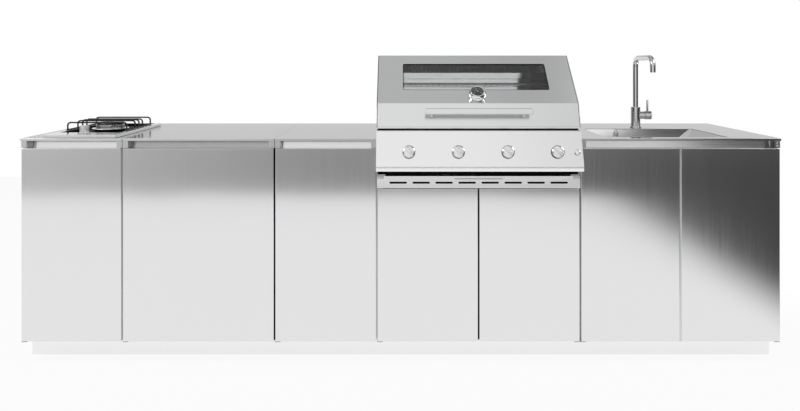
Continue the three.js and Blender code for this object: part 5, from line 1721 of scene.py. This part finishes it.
@dataclass
class SideBurner(SubAssembly):
    """The side burner: a raised plate, an enamelled tray, the burner, its cap, the trivet and the knob."""

    plate_edge: float = 0.0022
    foot_gap: float = 0.0022
    tooth_count: int = 40
    tooth_width: float = 0.0052
    crown: float = 0.0575
    wire: float = 0.00325
    wire_bend: float = 0.012
    wire_proud: float = 0.006
    arch_shares: tuple[float, ...] = (-0.652, -0.206, 0.01, 0.206, 0.676)
    flutes: int = 24
    flute_depth: float = 0.02

    def build(self) -> None:
        """Make the side burner's pieces."""
        low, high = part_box("hob_plate")

        def on_top_rim(middle: Vector) -> bool:
            """Whether a point lies on the plate's outer upper rim or its upright corners."""
            sides = (middle.x - low.x, high.x - middle.x, middle.y - low.y, high.y - middle.y)
            return min(sides) < CLEARANCE

        self.refined("hob_plate", "root", "grill_steel", self.finishes.grill, self.plate_edge, on_top_rim)
        # The hob's black tray is partly its enamel and partly painted shade in the well round the burner.
        self.refined("spill_tray", "root", "black_enamel", self.finishes.tray, 0.0007)
        self.burner()
        self.trivet()
        self.knob()

    def burner(self) -> None:
        """The burner's dish, its toothed crown and the cap."""
        low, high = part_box("hob_burner")
        cap_low, cap_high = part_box("hob_burner_cap")
        centre = (low + high) / 2
        frame = Matrix.Translation((centre.x, centre.y, 0))
        dish = (high.x - low.x) / 2
        floor = low.z + 0.036
        crown, half = self.crown, self.tooth_width / 2
        dish_top = floor + 0.0105
        shape = Shape().turn(
            [
                (0, low.z), (0.033, low.z), (0.034, low.z + 0.001), (0.034, floor), (0.06, floor + 0.0003),
                (dish, floor + 0.009), *arc((dish - 0.0009, dish_top - 0.0006), 0.0009, 0, 90, 4),
                (crown + 0.001, dish_top - 0.002), (crown - 0.0035, dish_top), (crown - 0.0035, high.z),
                (0, high.z),
            ],
            frame,
        )
        for i in range(self.tooth_count):
            turned = frame @ Matrix.Rotation(math.tau * i / self.tooth_count, 4, "Z")
            outline = rounded_outline((crown - 0.006, -half), (crown + 0.0022, half), 0.0012, 2)
            shape.plate(outline, dish_top - 0.001, high.z, turned, 0.0006)
        # The crown takes the paler sheet: painted light, so its teeth read bright.
        made = shape.piece("hob_burner_crown", self.finishes.fascia, flat=True)
        self.fit(made, "root", "grill_steel", "hob_burner")
        radius = (cap_high.x - cap_low.x) / 2
        cap = Shape().turn(
            [
                (0, cap_low.z), (radius - 0.001, cap_low.z), (radius, cap_low.z + 0.001),
                *arc((radius - 0.004, cap_high.z - 0.0052), 0.004, 0, 75, 6),
                (radius * 0.6, cap_high.z - 0.0004), (radius * 0.3, cap_high.z), (0, cap_high.z),
            ],
            frame,
        )
        self.fit(cap.piece("hob_burner_lid", self.finishes.enamel), "root", "cast_iron", "hob_burner_cap")

    def trivet(self) -> None:
        """The bent wires over the burner and the two side wires that join them."""
        low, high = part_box("trivet")
        wire, proud = self.wire, self.wire_proud
        tray_low, tray_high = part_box("spill_tray")
        middle = (tray_low.y + tray_high.y) / 2
        half_depth = (tray_high.y - tray_low.y) / 2 + CLEARANCE
        left, right = low.x + wire, high.x - wire
        foot, level = low.z + wire, high.z - wire
        shape = Shape()
        places = [middle + share * half_depth for share in self.arch_shares]
        for y in places:
            corners = [(left, y, foot), (left, y, level), (right, y, level), (right, y, foot)]
            shape.tube(bent_route(corners, self.wire_bend), wire)
        for x in (left, right):
            shape.tube([Vector((x, places[0] - proud, foot)), Vector((x, places[-1] + proud, foot))], wire)
        self.fit(shape.piece("trivet_wires", self.finishes.wire), "root", "cast_iron", "trivet")

    def knob(self) -> None:
        """The hob's knob: a tapered drum with shallow flutes and a pointer line."""
        low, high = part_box("hob_knob")
        joint = self.joint("hob_knob_turn")
        frame = Matrix.Translation((joint["pos_m"][0], joint["pos_m"][1], 0))
        radius = (high.x - low.x) / 2
        base = low.z + 0.0083
        levels = (
            (base, 0.97), (base + 0.0012, 1.0), (high.z - 0.004, 0.915), (high.z - 0.0012, 0.88),
            (high.z - 0.0002, 0.8), (high.z, 0.7),
        )
        rings = []
        for height, share in levels:
            depth = self.flute_depth if share > 0.9 else 0.0
            rings.append(lobed_ring(radius * share, height, self.flutes, depth, 6))
        shape = Shape().loft(rings, frame)
        shape.turn([(0, low.z), (0.004, low.z), (0.004, base + 0.001), (0, base + 0.001)], frame, steps=24)
        self.fit(shape.piece("hob_knob_drum", self.finishes.satin), "hob_knob", "bright_chrome", "hob_knob")
        foot_top = base - CLEARANCE
        foot = Shape().turn(
            [
                (0.0045, low.z + self.foot_gap), (radius * 0.94, low.z + self.foot_gap),
                (radius * 0.96, foot_top), (0.0045, foot_top),
            ],
            frame,
        )
        self.fit(foot.piece("hob_knob_foot", self.finishes.dark), "hob_knob", "black_enamel")


@dataclass
class Sink(SubAssembly):
    """The drawn bowl with its overflow, the strainer and the waste trap."""

    shoulder_run: float = 0.044
    shoulder_drop: float = 0.04
    draft: float = 0.008
    floor_round: float = 0.028
    sheet: float = 0.0015
    mouth_corner: float = 0.012
    lower_corner: float = 0.04
    flange: float = 0.018
    drain_radius: float = 0.045
    overflow_length: float = 0.06
    overflow_height: float = 0.012
    overflow_rim: float = 0.0028

    def build(self) -> None:
        """Make the bowl, the overflow, the strainer and dress the trap."""
        low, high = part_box("sink_bowl")
        strainer_low, strainer_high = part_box("sink_strainer")
        self.centre = ((low.x + high.x) / 2, (low.y + high.y) / 2)
        self.mouth = (high.x - low.x - 2 * self.flange, high.y - low.y - 2 * self.flange)
        self.top = high.z
        self.floor = low.z + self.sheet
        self.drain = (strainer_high.x - strainer_low.x) / 2
        self.bowl()
        self.overflow()
        self.strainer(strainer_low, strainer_high)
        self.dress(self.finishes.plastic, "sink_trap")

    def ring(self, run: float, corner: float, height: float) -> list[Point]:
        """A level ring of the bowl.

        Args:
            run: How far it is set in from the mouth.
            corner: Radius of its corners.
            height: Its height.

        Returns:
            Its points.
        """
        half_x = self.mouth[0] / 2 - run
        half_y = self.mouth[1] / 2 - run
        x, y = self.centre
        outline = rounded_outline((x - half_x, y - half_y), (x + half_x, y + half_y), corner, 10)
        return [(px, py, height) for px, py in outline]

    def bowl(self) -> None:
        """The bowl's sheet: a flange, sloping shoulders, drafted walls and a rounded floor with a drain."""
        inside = [self.ring(-self.flange, self.lower_corner, self.top)]
        inside.append(self.ring(-0.0004, self.mouth_corner, self.top))
        inside.append(self.ring(0.0012, self.mouth_corner, self.top - 0.0012))
        run, drop = self.shoulder_run, self.shoulder_drop
        for share in (0.25, 0.5, 0.75, 0.94):
            corner = self.mouth_corner + (self.lower_corner - self.mouth_corner) * share
            inside.append(self.ring(run * share, corner, self.top - drop * share))
        inside.append(self.ring(run + 0.0006, self.lower_corner, self.top - drop - 0.003))
        wall_end = self.shoulder_run + self.draft
        inside.append(self.ring(wall_end, self.lower_corner, self.floor + self.floor_round))
        for angle in (22.5, 45, 67.5, 90):
            turn = math.radians(angle)
            run = wall_end + self.floor_round * (1 - math.cos(turn))
            height = self.floor + self.floor_round * (1 - math.sin(turn))
            inside.append(self.ring(run, self.lower_corner, height))
        x, y = self.centre
        drain = []
        for px, py, _ in inside[-1]:
            angle = math.atan2((py - y) / self.mouth[1], (px - x) / self.mouth[0])
            reach = self.drain_radius * math.cos(angle), self.drain_radius * math.sin(angle)
            drain.append((x + reach[0], y + reach[1], self.floor))
        inside.append(drain)
        outside = [[(px, py, pz - self.sheet) for px, py, pz in ring] for ring in inside[:2]]
        outside += [self.grown(ring) for ring in inside[2:-1]]
        outside.append([(px, py, pz - self.sheet) for px, py, pz in drain])
        shape = Shape().loft(inside + outside[::-1] + [inside[0]], caps=False)
        bmesh.ops.remove_doubles(shape.mesh, verts=shape.mesh.verts[:], dist=CLEARANCE / 100)
        bmesh.ops.recalc_face_normals(shape.mesh, faces=shape.mesh.faces[:])
        self.fit(shape.piece("sink_bowl_sheet", self.finishes.bowl), "root", "worktop_steel", "sink_bowl")

    def grown(self, ring: Sequence[Point]) -> list[Point]:
        """A ring moved outwards and down by the sheet's thickness.

        Args:
            ring: Points of the ring.

        Returns:
            The moved points.
        """
        x, y = self.centre
        shift = self.sheet
        grown = []
        for px, py, pz in ring:
            side_x = math.copysign(shift, px - x)
            side_y = math.copysign(shift, py - y)
            grown.append((px + side_x, py + side_y, max(pz - shift, self.floor - shift)))
        return grown

    def overflow(self) -> None:
        """The overflow's slot in the rear wall: a dark plate in a pressed steel rim, painted shade in the
        slot's mouth.
        """
        x = self.centre[0] + 0.017
        y = self.centre[1] + self.mouth[1] / 2 - self.shoulder_run - 0.0016
        z = self.top - self.shoulder_drop - 0.014
        frame = Matrix(((1, 0, 0, x), (0, 0, -1, y), (0, 1, 0, z), (0, 0, 0, 1)))
        half = (self.overflow_length / 2, self.overflow_height / 2)
        outline = rounded_outline((-half[0], -half[1]), half, half[1] * 0.98)
        rim = Shape().plate(outline, -0.0005, 0.0014, frame, 0.0006)
        self.fit(rim.piece("overflow_rim", self.finishes.chrome, flat=True), "root", "worktop_steel")
        mouth = (half[0] - self.overflow_rim, half[1] - self.overflow_rim)
        outline = rounded_outline((-mouth[0], -mouth[1]), mouth, mouth[1] * 0.98)
        # The mouth is a dark plate: painted shade in the slot.
        hole = Shape().plate(outline, 0.0008, 0.0018, frame)
        self.fit(hole.piece("overflow_mouth", self.finishes.dark), "root", "black_enamel")

    def strainer(self, low: Vector, high: Vector) -> None:
        """The strainer's dish with rings of holes, its lift knob and the tailpiece below.

        Args:
            low: The solid's lowest corner.
            high: Its highest corner.
        """
        frame = Matrix.Translation(((low.x + high.x) / 2, (low.y + high.y) / 2, 0))
        flange = (high.x - low.x) / 2
        top = high.z
        dish = 0.038
        dish_floor = top - 0.014
        cup_bottom = self.floor - 0.028
        shape = Shape().turn(
            [
                (0, low.z), (0.02, low.z), (0.02, cup_bottom), (0.0447, cup_bottom + 0.014),
                (0.0447, top - 0.002), (flange, top - 0.002),
                *arc((flange - 0.001, top - 0.001), 0.001, 0, 90, 4),
                *arc((dish + 0.003, top - 0.003), 0.003, 90, 180, 5),
                *arc((dish - 0.005, dish_floor + 0.005), 0.005, 0, -90, 5), (0.006, dish_floor),
                (0.005, dish_floor + 0.004), (0.0085, dish_floor + 0.006), (0.0085, dish_floor + 0.0085),
                (0.006, dish_floor + 0.01), (0, dish_floor + 0.0103),
            ],
            frame,
        )
        made = shape.piece("strainer_dish", self.finishes.chrome)
        self.fit(made, "root", "worktop_steel", "sink_strainer")
        # Each hole is a dark disc on the dish's floor: painted shade in place of a hole.
        holes = Shape()
        for radius, count in ((0.013, 8), (0.02, 12), (0.027, 16)):
            for px, py in round_points(radius, count):
                spot = frame @ Matrix.Translation((px, py, dish_floor))
                holes.turn([(0, 0), (0.002, 0), (0.002, CLEARANCE / 2), (0, CLEARANCE / 2)], spot, steps=14)
        self.fit(holes.piece("strainer_holes", self.finishes.dark), "root", "black_enamel")


@dataclass
class Tap(SubAssembly):
    """The mixer tap: a straight body, a swivel spout, the mixer's cap and its lever."""

    spout_radius: float = 0.01175
    bend_radius: float = 0.038

    def build(self) -> None:
        """Make the tap's four pieces and its nozzle."""
        self.body()
        self.spout()
        self.mixer()

    def body(self) -> None:
        """The body on its flange, with the valve to its right."""
        low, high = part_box("tap_body")
        axis = self.joint("spout_swivel")["pos_m"]
        valve = self.joint("mixer_turn")["pos_m"]
        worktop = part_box("worktop_sink")[1].z + CLEARANCE
        frame = Matrix.Translation((axis[0], axis[1], 0))
        radius, flange = 0.021, 0.025
        shape = Shape().turn(
            [
                (0, low.z), (0.015, low.z), (0.015, worktop), (flange, worktop),
                *arc((flange - 0.002, worktop + 0.004), 0.002, 0, 80, 5), (radius, worktop + 0.0062),
                (radius, high.z - 0.0012), *arc((radius - 0.0012, high.z - 0.0012), 0.0012, 0, 90, 4),
                (self.spout_radius + 0.0006, high.z), (self.spout_radius + 0.0006, high.z - 0.001),
                (0, high.z - 0.001),
            ],
            frame,
        )
        side = square_frame((axis[0], axis[1], valve[2]), (1, 0, 0))
        reach = high.x - axis[0]
        profile = [(0, 0), (0.017, 0), (0.017, reach - 0.0006), (0.0164, reach), (0, reach)]
        shape.turn(profile, side, steps=48)
        self.fit(shape.piece("tap_pillar", self.finishes.tap), "root", "tap_steel", "tap_body")

    def spout(self) -> None:
        """The spout's bent tube, its stem, and the nozzle in its tip."""
        low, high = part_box("tap_spout")
        x, y, _ = self.joint("spout_swivel")["pos_m"]
        tip_y = low.y + self.spout_radius
        level = high.z - self.spout_radius
        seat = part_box("tap_body")[1].z + CLEARANCE
        tip_z = 1.143
        bore = 0.0082
        corners = [(x, y, seat), (x, y, level), (x, tip_y, level), (x, tip_y, tip_z)]
        stem = [(0, low.z), (0.008, low.z), (0.008, seat + 0.001), (0, seat + 0.001)]
        shape = Shape().tube(bent_route(corners, self.bend_radius, 16), self.spout_radius, 40)
        shape.turn(stem, Matrix.Translation((x, y, 0)))
        self.fit(shape.piece("tap_spout_tube", self.finishes.tap), "tap_spout", "tap_steel", "tap_spout")
        nozzle = Shape().turn(
            [
                (0, tip_z - CLEARANCE / 3), (bore, tip_z - CLEARANCE / 3), (bore, tip_z - 0.0016),
                (bore + 0.0022, tip_z - 0.0016), (bore + 0.0026, tip_z - 0.0012),
                (bore + 0.0026, tip_z + 0.001), (0, tip_z + 0.001),
            ],
            Matrix.Translation((x, tip_y, 0)),
        )
        self.fit(nozzle.piece("tap_nozzle", self.finishes.chrome), "tap_spout", "tap_steel")

    def mixer(self) -> None:
        """The mixer's cap with its slot, and the lever on its ball."""
        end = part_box("mixer_cap")[1].x - CLEARANCE
        lift = self.joint("mixer_lift")["pos_m"]
        self.refined("mixer_cap", "mixer_cap", "tap_steel", self.finishes.tap, 0.0012, lambda m: m.x > end)
        lever_low, lever_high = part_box("mixer_lever")
        radius = (lever_high.y - lever_low.y) / 2
        frame = Matrix.Translation((lift[0], lift[1], 0))
        shape = Shape().turn(
            [
                (0, lift[2] - radius), *arc((0, lift[2]), radius, -80, 0, 8),
                (radius * 0.92, lift[2] + (lever_high.z - lift[2]) * 0.5),
                (radius * 0.92, lever_high.z - 0.001), (radius * 0.8, lever_high.z), (0, lever_high.z),
            ],
            frame, steps=40,
        )
        made = shape.piece("mixer_lever_pin", self.finishes.tap)
        self.fit(made, "mixer_lever", "tap_steel", "mixer_lever")


# Studio


@dataclass
class Studio:
    """Floor, surroundings, lamps and the camera at the photograph's place.

    The steel's look comes from what it mirrors: a white floor that ends a few metres in front, dusk
    beyond it that deepens to the right, and a bright wall above the horizon with dark sides.
    """

    image_width: int = 800
    image_height: int = 411
    focal_pixels: float = 684.0
    horizon_row: float = 61.0
    eye: Point = (-0.0026, -3.025, 1.1906)
    lamp_target: Point = (0.0, 0.0, 0.6)
    floor_left: float = -5.0
    floor_right: float = 2.13
    floor_front: float = -4.0
    floor_back: float = 4.0
    floor_glow: float = 0.9
    lamp_height: float = 3.4
    lamp_front: float = -0.9
    lamp_side: float = 3.6
    lamp_size: float = 1.6
    lamp_watts: float = 45.0
    floor_feather: float = 0.5

    def build(self) -> None:
        """Make the camera, the floor, the lamps and the surroundings."""
        self.camera()
        self.floor()
        self.lamps()
        self.surroundings()
        bpy.context.scene.view_settings.view_transform = "Standard"

    def camera(self) -> None:
        """A level camera that looks along Y, with the lens shifted down as in the photograph."""
        data = bpy.data.cameras.new("camera")
        data.sensor_width = 36.0
        data.lens = data.sensor_width * self.focal_pixels / self.image_width
        data.shift_y = (self.horizon_row - self.image_height / 2) / self.image_width
        camera = bpy.data.objects.new("camera", data)
        camera.location = self.eye
        camera.rotation_euler = (math.radians(90), 0, 0)
        bpy.context.scene.collection.objects.link(camera)
        bpy.context.scene.camera = camera

    def seen_rays(self, tree: Tree) -> Socket:
        """1 for rays that show the backdrop: the camera's, and those that metal and glass send on."""
        rays = add_node(tree, "ShaderNodeLightPath")
        seen = rays.outputs["Is Camera Ray"]
        for name in ("Is Glossy Ray", "Is Transmission Ray"):
            inputs = {0: seen, 1: rays.outputs[name]}
            seen = add_node(tree, "ShaderNodeMath", {"operation": "MAXIMUM"}, inputs).outputs[0]
        return seen

    def floor(self) -> None:
        """A pale matt paper sheet that ends a few metres out, and glows where it is looked at."""
        data = bpy.data.meshes.new("floor")
        corners = [
            (self.floor_left, self.floor_front, 0), (self.floor_right, self.floor_front, 0),
            (self.floor_right, self.floor_back, 0), (self.floor_left, self.floor_back, 0),
        ]
        data.from_pydata(corners, [], [(0, 1, 2, 3)])
        floor = bpy.data.objects.new("floor", data)
        bpy.context.scene.collection.objects.link(floor)
        paper = Finish("floor_paper_matt", "#f6f6f6", 0.9, mottle_size=2.0, mottle_share=0.004).build()
        tree = paper.node_tree
        glow = add_node(tree, "ShaderNodeEmission", inputs={"Color": (1, 1, 1, 1), "Strength": 1.0})
        share = add_node(
            tree, "ShaderNodeMath", {"operation": "MULTIPLY"}, {0: self.seen_rays(tree), 1: self.floor_glow}
        )
        shader = tree.nodes["Principled BSDF"]
        inputs = {0: share.outputs[0], 1: shader.outputs[0], 2: glow.outputs[0]}
        mixed = add_node(tree, "ShaderNodeMixShader", inputs=inputs)
        nothing = add_node(tree, "ShaderNodeBsdfTransparent")
        faded = add_node(
            tree, "ShaderNodeMixShader",
            inputs={0: self.faded_edge(tree), 1: nothing.outputs[0], 2: mixed.outputs[0]},
        )
        tree.links.new(faded.outputs[0], tree.nodes["Material Output"].inputs["Surface"])
        data.materials.append(paper)

    def faded_edge(self, tree: Tree) -> Socket:
        """How much of the paper is there: 1 on the sheet, and 0 past its right and its front edge.

        Args:
            tree: The paper's nodes.

        Returns:
            The share, which falls over a width before each of the two edges.
        """
        place = add_node(tree, "ShaderNodeNewGeometry").outputs["Position"]
        parts = add_node(tree, "ShaderNodeSeparateXYZ", inputs={0: place})
        shares = []
        for axis, edge, width in (
            ("X", self.floor_right, self.floor_feather), ("Y", self.floor_front, -self.floor_feather),
        ):
            ramp = add_node(
                tree, "ShaderNodeMapRange", {"interpolation_type": "SMOOTHSTEP"},
                {"Value": parts.outputs[axis], "From Min": edge, "From Max": edge - width},
            )
            shares.append(ramp.outputs["Result"])
        both = add_node(tree, "ShaderNodeMath", {"operation": "MULTIPLY"}, {0: shares[0], 1: shares[1]})
        return both.outputs[0]

    def lamps(self) -> None:
        """Two large soft lamps overhead at the sides, which face the row's middle."""
        for name, side in (("left_lamp", -1), ("right_lamp", 1)):
            data = bpy.data.lights.new(name, "AREA")
            data.shape = "RECTANGLE"
            data.size = data.size_y = self.lamp_size
            data.energy = self.lamp_watts
            lamp = bpy.data.objects.new(name, data)
            lamp.location = (side * self.lamp_side, self.lamp_front, self.lamp_height)
            aim = Vector(self.lamp_target) - lamp.location
            lamp.rotation_euler = aim.to_track_quat("-Z", "Y").to_euler()
            bpy.context.scene.collection.objects.link(lamp)

    def surroundings(self) -> None:
        """The studio's walls and ceiling, with a white backdrop behind the row."""
        world = bpy.data.worlds.new("studio")
        bpy.context.scene.world = world
        world.use_nodes = True
        tree = world.node_tree
        tree.nodes.clear()
        direction = add_node(tree, "ShaderNodeTexCoord").outputs["Generated"]
        parts = add_node(tree, "ShaderNodeSeparateXYZ", inputs={0: direction})
        x, y, z = (parts.outputs[axis] for axis in ("X", "Y", "Z"))

        def step(value: Socket, start: float, end: float) -> Socket:
            """A smooth step from 0 at the start to 1 at the end."""
            return add_node(
                tree, "ShaderNodeMapRange", {"interpolation_type": "SMOOTHSTEP"},
                {"Value": value, "From Min": start, "From Max": end},
            ).outputs["Result"]

        def ramp(value: Socket, stops: Sequence[Pair]) -> Socket:
            """Greys along a value that goes from -1 to 1."""
            share = add_node(
                tree, "ShaderNodeMapRange", inputs={"Value": value, "From Min": -1.0, "From Max": 1.0}
            ).outputs["Result"]
            node = add_node(tree, "ShaderNodeValToRGB", inputs={0: share})
            set_ramp(node, [((place + 1) / 2, grey) for place, grey in stops])
            return node.outputs["Color"]

        def blend(share: Socket, low: Socket, high: Socket) -> Socket:
            """The low colour, turning to the high one with the share."""
            inputs = {"Factor": share, 6: low, 7: high}
            return add_node(tree, "ShaderNodeMix", {"data_type": "RGBA"}, inputs).outputs[2]

        wall = ramp(
            x, [
                (-1.0, 0.16), (-0.8, 0.2), (-0.62, 0.92), (0.1, 0.92), (0.3, 0.8), (0.33, 1.0), (0.37, 1.0),
                (0.4, 0.07),
            ]
        )
        upper_wall = ramp(x, [(-1.0, 0.5), (-0.5, 0.95), (0.1, 0.92), (0.3, 0.75), (0.7, 0.5)])
        dusk = ramp(
            x, [
                (-0.6, 0.6), (-0.45, 0.56), (-0.3, 0.42), (-0.1, 0.3), (0.12, 0.26), (0.3, 0.1),
                (0.46, 0.05),
            ]
        )
        ceiling = ramp(
            x, [
                (-0.5, 0.6), (0.05, 0.56), (0.24, 0.46), (0.256, 0.46), (0.27, 1.0), (0.312, 1.0),
                (0.326, 0.08), (0.7, 0.1),
            ]
        )
        high_back = ramp(x, [(-1.0, 0.3), (0.0, 0.45), (1.0, 0.3)])
        backdrop = ramp(x, [(-1.0, 0.2), (-0.72, 0.3), (-0.6, 0.95), (0.6, 0.95), (0.72, 0.3), (1.0, 0.2)])
        front = blend(step(z, 0.1, 0.2), wall, upper_wall)
        front = blend(step(z, -0.05, -0.11), front, dusk)
        behind = blend(step(z, 0.2, 0.4), backdrop, high_back)
        around = blend(step(y, -0.15, 0.15), front, behind)
        studio = blend(step(z, 0.62, 0.86), around, ceiling)
        rays = add_node(tree, "ShaderNodeLightPath")
        white = add_node(tree, "ShaderNodeRGB")
        white.outputs[0].default_value = (1, 1, 1, 1)
        seen = blend(rays.outputs["Is Camera Ray"], studio, white.outputs[0])
        background = add_node(tree, "ShaderNodeBackground", inputs={"Color": seen, "Strength": 1.0})
        add_node(tree, "ShaderNodeOutputWorld", inputs={"Surface": background.outputs[0]})


def main() -> None:
    """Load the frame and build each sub-assembly round it."""
    logging.basicConfig(level=logging.INFO, format="%(message)s")
    bpy.ops.wm.read_factory_settings(use_empty=True)
    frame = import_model()
    finishes = Finishes()
    Studio().build()
    kinds = (
        Cabinets, FingerRails, Doors, Worktops, VentRail, Hood, Fascia, GrillInside, SideBurner, Sink, Tap
    )
    for kind in kinds:
        kind(frame, finishes).build()
        log.info("%s built", kind.__name__)


if __name__ == "__main__":
    main()
